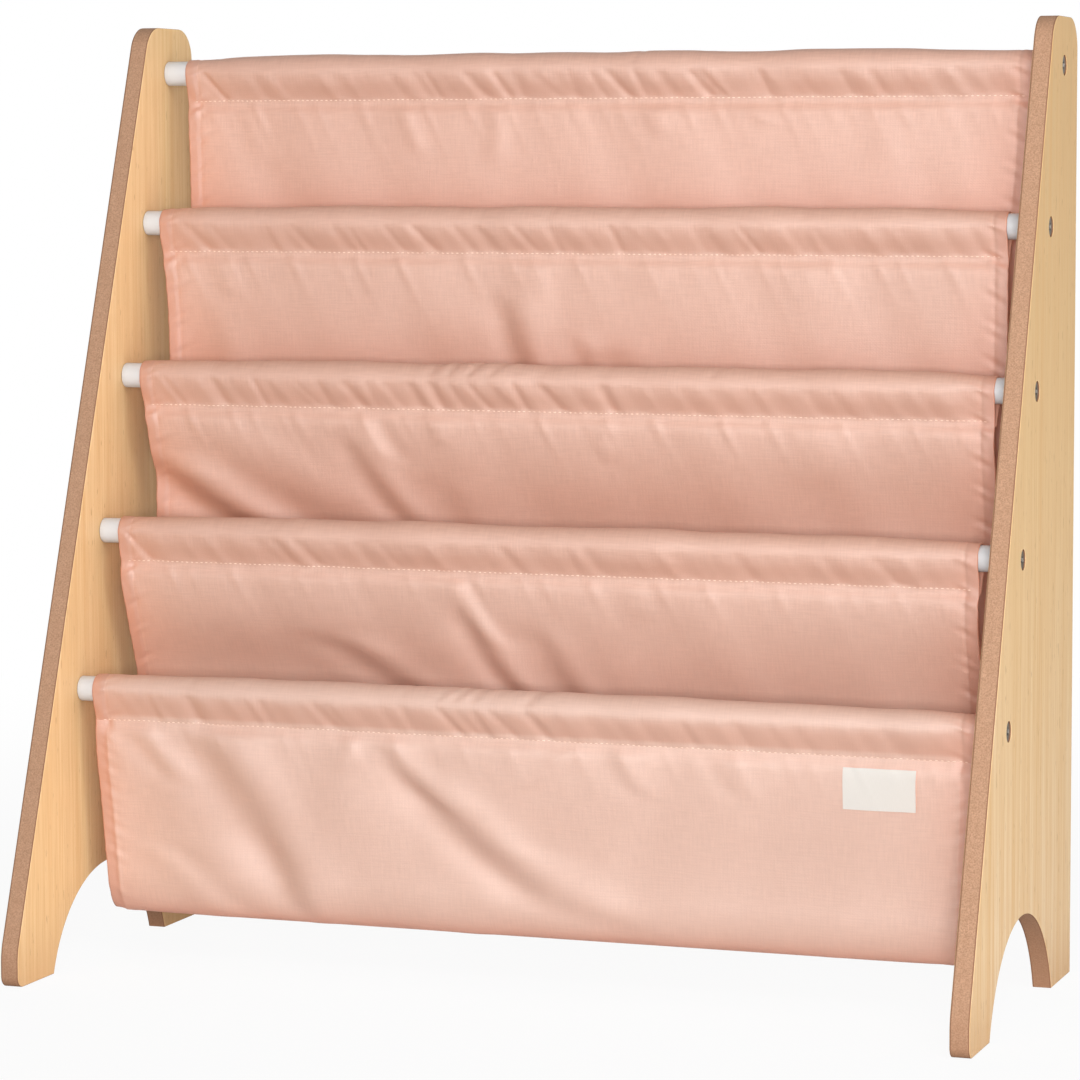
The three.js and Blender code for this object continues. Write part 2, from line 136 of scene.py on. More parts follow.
REAR_Y = DEPTH / 2
LEAN = math.atan2(DEPTH - PANEL_TOP_DEPTH, HEIGHT - TOE_HEIGHT)
PANEL_INNER_X = WIDTH / 2 - PANEL_THICKNESS
COVER_HALF = PANEL_INNER_X - COVER_SIDE_GAP

# Soft swells and dips of each back wall, top tier first: middle x, cloth below the seam, length,
# width, height towards the viewer and turn from upright in degrees
BACK_SWELLS = (
    ((110, 20, 20, 60, 0.8, 0), (-215, 40, 60, 26, -1.2, 24), (240, 50, 40, 30, -1.5, 0)),
    ((-82, 82, 34, 52, -3.4, 0), (20, 76, 14, 22, -2.2, 0), (-258, 66, 30, 18, -2.0, 0),
     (-128, 16, 13, 11, 0.6, 0), (53, 14, 11, 13, 0.6, 10), (163, 16, 15, 19, 0.8, 0)),
    ((-186, 40, 64, 16, 2.2, 58), (-150, 90, 22, 60, -1.5, 0), (40, 92, 30, 90, -2.0, 0),
     (172, 24, 18, 28, 1.0, 0)),
    ((-192, 94, 42, 112, -8.0, 0), (-66, 62, 24, 26, 1.2, 30), (4, 94, 26, 30, -3.0, 0),
     (160, 96, 26, 130, -2.4, 0), (248, 80, 40, 22, -2.4, 0), (70, 60, 18, 26, 0.8, 20)),
)

# Creases of each back wall: start and end below the seam, x at the start, halfway and at the end,
# width, height and lean, where 1 is a dip on the left beside a ridge on the right and -1 the reverse
BACK_CREASES = (
    ((0, 36, -128, -121, -114, 7, 0.9, 0), (0, 44, -64, -61, -62, 8, 1.0, 0), (0, 24, 44, 48, 52, 7, 0.8, 0),
     (0, 18, 98, 112, 126, 9, 0.7, 0), (0, 46, 190, 196, 200, 13, 0.8, 0),
     (0, 40, -240, -232, -226, 8, 0.7, 0)),
    ((26, 96, -43, -34, -22, 13, 2.3, 1), (0, 60, -18, -14, -10, 13, 0.6, -1),
     (0, 30, -246, -238, -232, 8, 0.8, 0), (50, 94, 4, 12, 22, 10, 0.8, 1)),
    ((34, 100, -272, -232, -166, 26, 5.0, 1), (14, 84, -137, -120, -94, 13, 2.2, 1),
     (0, 36, -124, -116, -104, 9, 0.9, -1), (0, 30, 30, 34, 38, 7, 0.8, 0), (0, 22, -80, -76, -74, 7, 0.7, 0),
     (44, 92, -74, -66, -52, 14, 0.7, 1)),
    ((2, 48, -47, -37, -22, 9, 1.4, -1), (22, 92, -43, -31, -6, 12, 2.8, 1), (34, 98, 4, 15, 34, 13, 1.7, 1),
     (46, 100, -134, -100, -50, 22, 2.6, 1), (0, 26, 60, 66, 70, 9, 0.6, 0)),
)

# The same for the front wall of the lowest pocket, measured down from its seam
FRONT_SWELLS = (
    (-205, 88, 16, 26, 1.2, 0), (-96, 76, 44, 24, 1.6, 42), (-250, 60, 40, 20, -1.0, 0),
    (-117, 50, 36, 30, 0.9, 0), (120, 60, 60, 70, -1.0, 30),
)
FRONT_CREASES = (
    (-2, 116, -216, -172, -142, 25, 4.6, 1), (64, 128, -168, -154, -138, 14, 1.8, 1),
    (-4, 52, -96, -72, -42, 12, 1.9, 1), (26, 108, -64, -24, 26, 22, 4.4, 1),
    (0, 24, -103, -109, -115, 6, 0.8, 0), (2, 30, 38, 24, 10, 7, 0.8, 0),
    (0, 40, -262, -244, -226, 12, 1.2, 1), (0, 20, -96, -92, -88, 6, 0.8, 0),
    (70, 118, 0, 30, 66, 24, 1.4, 1), (0, 34, 60, 70, 84, 11, 0.7, 1),
    (0, 30, 128, 136, 146, 10, 0.6, 1), (80, 128, -240, -214, -190, 16, 1.2, -1),
)

# Small creases round each sleeve: x where one turns back at the sleeve's pale front, and how deep it
# is below and above that line
SLEEVE_CREASES = (
    ((-269, 1.4, 0.2), (-111, 0.8, 0), (-84, 0.7, 0), (-63, 0.9, 0), (-49, 0.9, 0), (-36, 0.8, 0),
     (-12, 0.9, 0), (2, 0.8, 0), (12, 1, 0), (32, 0.8, 0.5), (48, 0.8, 0), (68, 1.1, 0.2), (75, 0.8, 0),
     (114, 0.7, 0), (137, 0.8, 0), (166, 0.5, 0), (187, 0.4, 0), (241, 0.4, 0)),
    ((-266, 1.4, 0.2), (-248, 0.7, 0), (-209, 0.7, 0), (-192, 0.6, 0), (-150, 0.7, 0), (-126, 0.6, 0.2),
     (-107, 0.8, 0.2), (-78, 0.8, 0.3), (-62, 0.6, 0.3), (-37, 0.7, 0.2), (-13, 1, 0.5), (28, 0.9, 0),
     (37, 0.7, 0.3), (83, 0.5, 0), (112, 1, 0.3), (154, 0.5, 0.3)),
    ((-267, 0.6, 0), (-232, 0.7, 0.3), (-202, 1, 0.4), (-174, 0.6, 0), (-157, 0.7, 0), (-140, 0.7, 0),
     (-124, 0.6, 0), (-112, 0.7, 0), (-95, 1, 0.2), (-80, 1.2, 0.9), (-68, 0.5, 0.9), (-55, 1.1, 1),
     (-41, 0.6, 0.9), (-24, 1.1, 0.3), (-8, 1.1, 0.5), (35, 1.3, 0.5), (65, 0.4, 0), (104, 0.3, 0.5)),
    ((-278, 1.2, 0.3), (-186, 0.6, 0.3), (-175, 0.5, 0.4), (-160, 1, 0.4), (-104, 0.4, 0), (-23, 0.3, 0),
     (23, 0.5, 0.3), (217, 0.9, 0.3)),
    ((-272, 0.6, 0.3), (-247, 1, 0.3), (-218, 1.2, 0.4), (-180, 0.6, 0.2), (-170, 1, 0.2),
     (-134, 1, 0.1), (-124, 0.5, 0), (-74, 0.8, 0.5), (-50, 1.2, 0.6), (-39, 0.8, 0.9), (-26, 1.2, 0.9),
     (-16, 1, 0.3), (9, 1.2, 1), (108, 0.5, 0), (140, 0.5, 0)),
)


# Numpy surfaces


def smooth(low, high, value):
    """Nought below low and one above high, with an even S between them."""
    t = np.clip((value - low) / (high - low), 0, 1)
    return t * t * (3 - 2 * t)


def wander(value, pitch, seed):
    """A gentle random line between about -1 and 1: five sines whose pitches share no measure."""
    ratios = np.array([1.0, 1.618, 2.39, 0.73, 0.47])
    weights = np.array([0.32, 0.26, 0.2, 0.14, 0.08])
    phases = np.modf(np.sin((seed + 1) * np.array([12.9, 78.2, 37.7, 93.9, 51.3])) * 43758.5)[0] * np.pi * 2
    waves = np.sin(2 * np.pi * np.asarray(value)[..., None] / (pitch * ratios) + phases)
    return (waves * weights).sum(-1) * 1.5


def grid_faces(rows, columns, wrap_rows=False, wrap_columns=False, flip=False):
    """Quads of a grid whose vertices run row by row. A wrapped side joins its last line to its first."""
    r = np.arange(rows if wrap_rows else rows - 1)[:, None]
    c = np.arange(columns if wrap_columns else columns - 1)[None, :]
    below, beside = (r + 1) % rows, (c + 1) % columns
    quads = np.stack([r * columns + c, r * columns + beside,
                      below * columns + beside, below * columns + c], -1).reshape(-1, 4)
    return quads[:, ::-1] if flip else quads


def add_mesh(name, points, faces, material, uv=None, sharp=None):
    """A mesh object at the origin from points in millimetres. Sharp is the angle past which an edge
    stays crisp."""
    mesh = bpy.data.meshes.new(name)
    mesh.from_pydata((np.asarray(points, float) * MM).tolist(), [], [list(map(int, f)) for f in faces])
    mesh.materials.append(material)
    mesh.shade_smooth()
    if sharp is not None:
        mesh.set_sharp_from_angle(angle=sharp)
    if uv is not None:
        corners = np.zeros(len(mesh.loops), np.int32)
        mesh.loops.foreach_get("vertex_index", corners)
        layer = mesh.uv_layers.new(name="cloth")
        layer.data.foreach_set("uv", (np.asarray(uv)[corners] * MM).astype(np.float32).ravel())
    piece = bpy.data.objects.new(name, mesh)
    bpy.context.scene.collection.objects.link(piece)
    return piece


def settle(piece, slot, *nodes):
    """Every piece rides on the one body and stands for its CAD nodes, which are hidden. The slot is not used.
    """
    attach(piece, "root")
    if nodes:
        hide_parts(*nodes)
    return piece


# Side view


def front_edge(z):
    """The leaning front edge of a panel, as its y at a height."""
    return -REAR_Y + (z - TOE_HEIGHT) * math.tan(LEAN)


def rod_axis(i):
    """Where rod i, counted from the top, passes through the side view."""
    z = HEIGHT - ROD_DROP - i * ROD_PITCH * math.cos(LEAN)
    return np.array([front_edge(z) + ROD_INSET / math.cos(LEAN), z])


def arc(y, z, radius, start, end, steps):
    """Points on a circle of the side view from one angle to another."""
    a = np.linspace(start, end, steps + 1)
    return np.stack([y + radius * np.cos(a), z + radius * np.sin(a)], -1)


def line(start, end, steps):
    """Points on a straight line, both ends counted."""
    t = np.linspace(0, 1, steps + 1)[:, None]
    return np.asarray(start) * (1 - t) + np.asarray(end) * t


def hang(start, end, lean_start, lean_end, steps):
    """Cloth hanging between two points: a cubic whose handles stand a third of the drop away."""
    start, end = np.asarray(start, float), np.asarray(end, float)
    third = (end[1] - start[1]) / 3
    a = start + [lean_start * third, third]
    b = end - [lean_end * third, third]
    t = np.linspace(0, 1, steps + 1)[:, None]
    return (1 - t) ** 3 * start + 3 * t * (1 - t) ** 2 * a + 3 * t * t * (1 - t) * b + t ** 3 * end


def lengths(path):
    """How much of the path lies before each of its points."""
    return np.concatenate([[0], np.cumsum(np.linalg.norm(np.diff(path, axis=0), axis=1))])


def pocket_bottom(marks, steps):
    """A pocket's bottom from its rear to its front: two quarter ellipses of one depth that meet at
    the lowest point, the front one the shorter."""
    t = np.linspace(0, -np.pi, steps + 1)
    reach = 2 * marks["radius"]
    front = reach * FRONT_SHARE
    y = marks["belly_front"][0] + front + np.where(t > -np.pi / 2, reach - front, front) * np.cos(t)
    return np.stack([y, marks["belly"][1] + marks["radius"] * np.sin(t)], -1)


def pocket_marks(i):
    """The points that pocket i hangs from and turns at, in the side view."""
    radius = POCKET_RADII[i]
    front = rod_axis(i + 1)
    bottom_z = front[1] - POCKET_DROPS[i] + radius
    if i == LOWEST:
        belly_front = front[0] + LOWEST_FRONT
    else:
        belly_front = hangs_at(i + 1, bottom_z) + NEST_STEP
    back_mid = front + [POCKET_BACKS[i], 0]
    belly_rear = np.array([belly_front + 2 * radius, bottom_z])
    lean = (belly_rear[0] - back_mid[0]) / (belly_rear[1] - back_mid[1])
    return {"seam": rod_axis(i) + [-SEAM_FORWARD, -SEAM_DROP - GAP], "back_mid": back_mid,
            "belly_rear": belly_rear, "belly": (belly_front + radius, bottom_z),
            "belly_front": np.array([belly_front, bottom_z]), "radius": radius, "lean": lean}


def hangs_at(i, z):
    """How far back the lower back wall of pocket i hangs at a height."""
    marks = pocket_marks(i)
    wall = hang(marks["back_mid"], marks["belly_rear"], marks["lean"], 0, 60)
    return float(np.interp(-z, -wall[:, 1], wall[:, 0]))


# Cover


class Sheet:
    """A cut of cloth on a grid: rows down its path, columns across it from left to right. Places and
    the directions out of its seen side are arrays of rows x columns x 3, in millimetres."""

    def __init__(self, places, so_far, columns, seam_row):
        self.places, self.so_far, self.columns, self.seam_row = places, so_far, columns, seam_row
        out = np.cross(np.gradient(places, axis=0), np.gradient(places, axis=1))
        self.out = out / np.linalg.norm(out, axis=-1, keepdims=True)

    def row_at(self, so_far):
        """The fractional row where so much of the path has gone by."""
        return np.interp(so_far, self.so_far, np.arange(len(self.so_far)))

    def column_at(self, x):
        """The fractional column at a place across the flat cloth."""
        return np.interp(x, self.columns, np.arange(len(self.columns)))

    def at(self, row, column):
        """Place and outward, downward and sideward directions at fractional rows and columns, by
        straight blending."""
        rows, columns = self.places.shape[:2]
        r = np.clip(row, 0, rows - 1.001)
        c = np.clip(column, 0, columns - 1.001)
        r0, c0 = r.astype(int), c.astype(int)
        fr, fc = (r - r0)[..., None], (c - c0)[..., None]

        def blend(a):
            return ((a[r0, c0] * (1 - fc) + a[r0, c0 + 1] * fc) * (1 - fr)
                    + (a[r0 + 1, c0] * (1 - fc) + a[r0 + 1, c0 + 1] * fc) * fr)

        down = self.places[r0 + 1, c0] - self.places[r0, c0]
        across = self.places[r0, c0 + 1] - self.places[r0, c0]
        unit = [v / np.linalg.norm(v, axis=-1, keepdims=True) for v in (blend(self.out), down, across)]
        return blend(self.places), *unit


def cover_columns(hem, step):
    """Where the columns lie across the cover: close together over each hem, a step apart between."""
    edge = np.arange(0, hem + 3, HEM_STEP)
    inner = COVER_HALF - edge[-1]
    middle = np.linspace(-inner, inner, int(2 * inner / step) + 1)
    return np.concatenate([-COVER_HALF + edge[:-1], middle, (COVER_HALF - edge[:-1])[::-1]])


def sleeve_section(slack, steps):
    """Cloth round a rod at the origin, from its rear seam over the rod to its front seam. Each wall
    runs straight from the seam to where it touches the round; slack holds one value per column."""
    radius = ROD_RADIUS + GAP + CLOTH / 2 + slack
    tip_z = CLOTH / 2 - SEAM_DROP
    rear = np.array([GAP / 2 + CLOTH / 2 - SEAM_FORWARD, tip_z])
    front = np.array(FRONT_TIP)
    leave = [math.atan2(tip[1], tip[0]) + side * np.arccos(radius / np.linalg.norm(tip))
             for tip, side in ((rear, 1), (front, -1))]
    t = np.linspace(0, 1, steps[1] + 1)[:, None]
    angle = leave[0] * (1 - t) + (leave[1] + 2 * np.pi) * t
    rounded = np.stack([radius * np.cos(angle), radius * np.sin(angle)], -1)
    up = np.linspace(0, 1, steps[0] + 1)[:-1, None, None]
    down = np.linspace(0, 1, steps[2] + 1)[1:, None, None]
    return np.concatenate([rear * (1 - up) + rounded[0] * up, rounded,
                           rounded[-1] * (1 - down) + front * down])


def swell_height(swells, x, down):
    """How far soft swells push the cloth: each is bell-shaped along and across its own line, which is
    turned from upright."""
    height = np.zeros(np.broadcast(x, down).shape)
    for middle, below, long, wide, high, turn in swells:
        a = math.radians(turn)
        dx, ds = x - middle, down - below
        along = (ds * math.cos(a) + dx * math.sin(a)) / long
        across = (dx * math.cos(a) - ds * math.sin(a)) / wide
        height = height + high * np.exp(-(along ** 2 + across ** 2) ** 1.4)
    return height


def crease_height(creases, x, down):
    """How far creases push the cloth: each follows a parabola through its three places, is
    bell-shaped across it or leans to a dip beside a ridge, and dies out softly at both ends."""
    height = np.zeros(np.broadcast(x, down).shape)
    for start, end, x_start, x_half, x_end, wide, high, lean in creases:
        t = (down - start) / (end - start)
        centre = x_start + (4 * x_half - 3 * x_start - x_end) * t + 2 * (x_start + x_end - 2 * x_half) * t * t
        fade = smooth(-0.12, 0.22, t) * (1 - smooth(0.68, 1.1, t))
        across = (x - centre) / wide
        height = height + high * fade * np.exp(-across ** 2) * (1 - abs(lean) + lean * 1.65 * across)
    return height


def wall_push(swells, creases, x, down, total, ease, gathers, slow):
    """Folds of a wall: swells and creases with a slow waviness, eased out at both ends, and small
    gathers that die away below the seam. Gathers are a height and a seed, slow is ready made."""
    fade = smooth(0, ease, np.minimum(down, total - down))
    folds = swell_height(swells, x, down) + crease_height(creases, x, down)
    high, seed = gathers
    gathered = high * np.maximum(wander(x - 0.5 * down, 15, seed), 0) * np.exp(-down / 14)
    return fade * (folds + slow) + smooth(0, 5, down) * gathered


def back_push(i, x, down, total):
    """Folds of back wall i."""
    slow = 0.6 * wander(x - 0.5 * down, 85, 40 + i)
    return wall_push(BACK_SWELLS[i], BACK_CREASES[i], x, down, total, 10, (0.8, 30 + i), slow)


def front_push(x, below, total):
    """Folds of the lowest pocket's front wall, seen from outside."""
    slow = 0.7 * wander(x + 0.3 * below, 80, 62)
    return wall_push(FRONT_SWELLS, FRONT_CREASES, x, below, total, 8, (0.6, 61), slow)


def sleeve_push(i, x, above):
    """Small creases round sleeve i: each is a narrow dip whose line runs from the top of the sleeve
    to the left as far as its pale front and from there to the right down to the seam. Above is the
    cloth left to the seam."""
    front = 22
    below = smooth(front + 1, front - 7, above) * smooth(-0.5, 2, above)
    over = smooth(front - 1, front + 4, above) * (1 - smooth(front + 12, front + 26, above))
    dips = np.zeros(np.broadcast(x, above).shape)
    for middle, deep, high in SLEEVE_CREASES[i]:
        vary = math.sin(middle * 1.7 + i)
        width = 3.4 + 1.2 * math.sin(middle * 2.9)
        across = (x - middle - (0.6 + 0.25 * vary) * np.abs(above - front)) / width
        dips = dips + (deep * below + high * over) * np.exp(-across ** 2) * (1 - 0.5 * across)
    short = 0.35 * wander(x + 0.6 * above, 19, 21 + i) * below
    long = 0.45 * wander(x, 75, 26 + i) * smooth(0, 12, above)
    return short + long - 0.8 * dips


def side_slide(slides, share, down):
    """How far the cloth has slipped sideways: three amounts at each hem, blended down the cloth,
    that fade towards the middle with the cube of the distance from it."""
    left, right = (a + (b - a) * smooth(-8, 18, down) + (c - b) * smooth(25, 90, down) for a, b, c in slides)
    return np.where(share < 0, left, right) * np.abs(share) ** 3


def hem_push(columns, down, hem, seam):
    """The turned hem stands a little proud of the cloth, and its stitches pucker it into small
    waves, most of all where it crosses the seam."""
    inside = COVER_HALF - np.abs(columns)
    step = 0.3 * (1 - smooth(hem - 1.8, hem + 1.8, inside))
    crossing = np.exp(-((down - seam - 3) / 11) ** 2)
    pucker = (0.4 + 0.5 * crossing) * wander(down + 0.5 * inside, 8, 77) * np.exp(-((inside - hem) / 6) ** 2)
    sway = 0.5 * wander(down, 70, 78) * np.exp(-inside / 26)
    groove = -0.25 * np.exp(-((inside - hem) / 1.6) ** 2)
    return step + pucker + sway + groove


def tier_path(i, columns):
    """The side view of tier i under every column, with the rows of its seam and its lowest point."""
    marks = pocket_marks(i)
    section = sleeve_rows(i, columns)
    upper = hang(marks["seam"], marks["back_mid"], 0, marks["lean"], BACK_ROWS)
    lower = hang(marks["back_mid"], marks["belly_rear"], marks["lean"], 0, LOWER_ROWS)
    belly = pocket_bottom(marks, LOWEST_BELLY_ROWS if i == LOWEST else BELLY_ROWS)
    if i == LOWEST:
        wall = hang(marks["belly_front"], rod_axis(i + 1) + FRONT_TIP, 0, 0, FRONT_ROWS)
        rise = np.zeros((0, len(columns), 2))
    else:
        rise = nested_wall(i, columns)
        wall = line(marks["belly_front"], rise[0, len(columns) // 2], 4)[:-1]
    fixed = np.concatenate([upper[1:], lower[1:], belly[1:], wall[1:]])
    path = np.concatenate([section, np.broadcast_to(fixed[:, None], (len(fixed), len(columns), 2)), rise])
    seam = len(section) - 1
    return path, seam, seam + BACK_ROWS + LOWER_ROWS + len(belly) // 2


def tier_x(i, share, so_far, down):
    """How far to the right each place of tier i lies: the cover's width, drawn in a little between
    its seams, with small waves at the hems and the slips of both rods' hems."""
    total = down[-1, 0]
    x = share[None] * (COVER_HALF - SIDE_DRAW_IN * np.sin(np.pi * np.clip(down / total, 0, 1)) ** 2)
    x = x + (0.25 * wander(so_far, 60, 90 + i) + 0.15 * wander(so_far, 11, 95 + i))[:, None] * share ** 15
    ahead = smooth(total - HANDOVER_START, total - HANDOVER_END, down)
    x = x + (1 - ahead) * side_slide(SIDE_SLIDES[i], share, down)
    behind = (0 if i == LOWEST else 0.6) * share ** 15
    return x + ahead * (side_slide(SIDE_SLIDES[i + 1], share, total - down) - behind)


def tier_push(i, x, columns, so_far, down, seam, hem):
    """Folds of tier i: sleeve, back wall, the lowest tier's front wall, hems and pinched seams. A
    nested front wall has its folds already."""
    total = down[-1, 0]
    push = np.zeros(x.shape)
    push[:seam] = sleeve_push(i, x[:seam], -down[:seam])
    back = slice(seam + 1, seam + 1 + BACK_ROWS + LOWER_ROWS)
    push[back] = back_push(i, x[back], down[back], down[back][-1, 0] + BACK_RUN_ON)
    loose = np.ones(x.shape)
    if i == LOWEST:
        front = slice(len(x) - FRONT_FOLD_ROWS, len(x))
        push[front] -= front_push(x[front], down[-1] - down[front], FRONT_FOLD_LENGTH)
        push += PINCH * np.exp(-((total - down) / PINCH_BELOW) ** 2)
    else:
        loose[-NEST_ROWS - 1:] = 0
    push += hem_push(columns, so_far[:, None], hem, so_far[seam]) * loose
    push -= PINCH * np.exp(-(down / np.where(down < 0, PINCH_ABOVE, PINCH_BELOW)) ** 2)
    return push + PINCH * np.exp(-(so_far[:, None] / PINCH_ABOVE) ** 2)


def tier_sheet(i, settings):
    """Sleeve i and the pocket below it in one cut: from the sleeve's rear seam over the rod, down the
    back wall, round the bottom and up the front wall to the seam of the rod in front."""
    hem = settings.hem_width / MM
    columns = cover_columns(hem, LOWEST_COLUMN_STEP if i == LOWEST else COLUMN_STEP)
    path, seam, lowest_row = tier_path(i, columns)
    so_far = lengths(path[:, len(columns) // 2])
    down = (so_far - so_far[seam])[:, None]
    x = tier_x(i, columns / COVER_HALF, so_far, down)
    places = np.concatenate([x[..., None], path], -1)
    push = tier_push(i, x, columns, so_far, down, seam, hem)
    places = places + Sheet(places, so_far, columns, seam).out * push[..., None]
    bottom = np.exp(-((down - down[lowest_row]) / LIFT_DOWN) ** 2)
    places[..., 2] += CORNER_LIFT * bottom * np.exp(-(COVER_HALF - np.abs(columns)) / LIFT_ACROSS)
    if i == LOWEST:
        meet = front_sleeve_sheet(settings).places[-1] - places[-1]
        total = down[-1, 0]
        places += meet * smooth(total - JOIN, total, down)[..., None]
    return Sheet(places, so_far, columns, seam)


def sleeve_rows(i, columns):
    """The rows of sleeve i over all columns: taut at the cover's sides and loose between them."""
    slack = SLEEVE_SLACK * (1 - np.abs(columns / COVER_HALF) ** 6) * (1 + 0.25 * wander(columns, 130, i))
    return sleeve_section(slack, SLEEVE_ROWS) + rod_axis(i)


def nested_wall(i, columns):
    """The front wall of pocket i behind the next pocket's back wall: that wall with its folds, set
    back by a distance that grows from their shared seam down."""
    marks = pocket_marks(i + 1)
    wall = hang(marks["seam"], marks["back_mid"], 0, marks["lean"], NEST_ROWS)
    so_far = lengths(wall)
    along = np.gradient(wall, axis=0)
    along /= np.linalg.norm(along, axis=-1, keepdims=True)
    out = np.stack([along[:, 1], -along[:, 0]], -1)
    apart = LAYER_STEP + (NEST_STEP - LAYER_STEP) * np.sin(np.pi / 2 * so_far / so_far[-1])
    push = back_push(i + 1, columns[None], so_far[:, None], so_far[-1] + NEST_RUN_ON) - apart[:, None]
    push -= PINCH * np.exp(-(so_far[:, None] / PINCH_BELOW) ** 2)
    return (wall[:, None] + out[:, None] * push[..., None])[::-1]


def front_sleeve_sheet(settings):
    """The lowest sleeve: the front wall's cloth carried over the rod and down to its rear seam."""
    hem = settings.hem_width / MM
    columns = cover_columns(hem, LOWEST_COLUMN_STEP)
    i = ROD_COUNT - 1
    path = sleeve_rows(i, columns)
    so_far = lengths(path[:, len(columns) // 2])
    above = (so_far[-1] - so_far)[:, None]
    x = columns + side_slide(SIDE_SLIDES[i], columns / COVER_HALF, -above)
    places = np.concatenate([x[..., None], path], -1)
    out = Sheet(places, so_far, columns, len(path) - 1).out
    push = sleeve_push(i, x, above) + hem_push(columns, so_far[:, None], hem, so_far[-1])
    push = push - PINCH * np.exp(-(above / PINCH_ABOVE) ** 2)
    push = push + PINCH * np.exp(-(so_far[:, None] / PINCH_ABOVE) ** 2)
    return Sheet(places + out * push[..., None], so_far, columns, len(path) - 1)


def crisp_rim(piece, shape, sides):
    """Marks the cut ends of a grid as sharp, and its sides too when asked, so that Solidify's rim
    doesn't bend the shading of the cloth beside it."""
    ends = np.zeros(2 * len(piece.data.edges), np.int32)
    piece.data.edges.foreach_get("vertices", ends)
    row, column = np.divmod(ends.reshape(-1, 2), shape[1])
    crisp = (row == 0).all(1) | (row == shape[0] - 1).all(1)
    if sides:
        crisp |= (column == 0).all(1) | (column == shape[1] - 1).all(1)
    piece.data.attributes.new("sharp_edge", "BOOLEAN", "EDGE").data.foreach_set("value", crisp)


def add_sheet(name, places, across, down, thickness, material, label=False):
    """A grid of places as a mesh with the cloth's own measure as its map, given its thickness by
    Solidify. The label's rows run against the cover's, and all four of its sides are crisp."""
    uv = np.stack(np.broadcast_arrays(across[None], down[:, None]), -1)
    shape = places.shape[:2]
    piece = add_mesh(name, places.reshape(-1, 3), grid_faces(*shape, flip=not label), material,
                     uv=uv.reshape(-1, 2))
    crisp_rim(piece, shape, label)
    wall = piece.modifiers.new("thickness", "SOLIDIFY")
    wall.thickness = thickness
    wall.offset = 0
    wall.use_even_offset = not label
    return piece


def stitches(name, sheet, row, column, along_rows, settings, material, lift):
    """Thread stitches on a sheet: each is a short rounded bead, thick in its middle and tapered to
    where the thread dives into the cloth, laid along the seam at one place of the sheet."""
    place, out, down, across = sheet.at(row, column)
    run, side = (down, across) if along_rows else (across, down)
    length, radius = settings.stitch_length / MM, settings.thread_diameter / MM / 2
    t = np.linspace(-0.5, 0.5, BEAD_RINGS)
    thick = radius * np.sqrt(np.clip(1 - (1.9 * t) ** 4, 0.06, 1))
    turn = np.arange(BEAD_SIDES) * 2 * np.pi / BEAD_SIDES
    bead_run = (t * length)[None, :, None, None] * run[:, None, None]
    ring = (np.cos(turn)[:, None] * side[:, None, None] + np.sin(turn)[:, None] * out[:, None, None])
    dive = -0.3 * (2 * t[None, :, None, None]) ** 4 * out[:, None, None]
    points = (place[:, None, None] + out[:, None, None] * lift + bead_run + dive
              + ring * thick[None, :, None, None])
    first_end = np.array([[0, 5, 4, 3], [0, 3, 2, 1]])  # two quads close a ring of six
    last_end = np.array([[0, 1, 2, 3], [0, 3, 4, 5]]) + (BEAD_RINGS - 1) * BEAD_SIDES
    quads = grid_faces(BEAD_RINGS, BEAD_SIDES, wrap_columns=True)
    quads = np.concatenate([quads, first_end, last_end])[:, ::-1]
    faces = (quads[None] + BEAD_RINGS * BEAD_SIDES * np.arange(len(place))[:, None, None]).reshape(-1, 4)
    return add_mesh(name, points.reshape(-1, 3), faces, material)


# Hard pieces


def turned(profile, sides, centre, hexagon=None):
    """Surface of revolution round an X line through centre: at each profile point and angle it lies
    at that x and radius. A hexagon share bends the circle into a hexagon of the same width."""
    profile = np.asarray(profile, float)
    t = np.arange(sides) * 2 * np.pi / sides
    flat = 1 / np.cos((t + np.pi / 6) % (np.pi / 3) - np.pi / 6)
    bend = np.zeros(len(profile)) if hexagon is None else np.asarray(hexagon, float)
    radius = profile[:, :1] * (1 + bend[:, None] * (flat - 1))
    x = np.broadcast_to(profile[:, 1:], radius.shape)
    return np.stack([x, centre[0] + radius * np.cos(t), centre[1] + radius * np.sin(t)], -1).reshape(-1, 3)


def panel_outline():
    """The panel's side view, anticlockwise from the toe: arcs joined by straight edges."""
    half = (DEPTH - FRONT_FOOT_LENGTH - REAR_FOOT_LENGTH) / 2
    arch_radius = (half * half + ARCH_HEIGHT ** 2) / (2 * ARCH_HEIGHT)
    arch_y, arch_z = REAR_Y - REAR_FOOT_LENGTH - half, ARCH_HEIGHT - arch_radius
    spring = math.asin(-arch_z / arch_radius)
    right = math.pi / 2
    blend_run = TOE_BLEND_RADIUS * math.tan(LEAN / 2)
    top_y = front_edge(HEIGHT) + TOP_RADIUS * math.tan((right - LEAN) / 2)
    return np.concatenate([
        arc(-REAR_Y + TOE_RADIUS, TOE_RADIUS, TOE_RADIUS, 2 * right, 3 * right, 16),
        arc(arch_y, arch_z, arch_radius, 2 * right - spring, spring, 96),
        [[REAR_Y, 0]],
        arc(REAR_Y - TOP_RADIUS, HEIGHT - TOP_RADIUS, TOP_RADIUS, 0, right, 24),
        arc(top_y, HEIGHT - TOP_RADIUS, TOP_RADIUS, right, 2 * right - LEAN, 24),
        arc(-REAR_Y + TOE_BLEND_RADIUS, TOE_HEIGHT - blend_run, TOE_BLEND_RADIUS,
            2 * right - LEAN, 2 * right, 12),
    ])


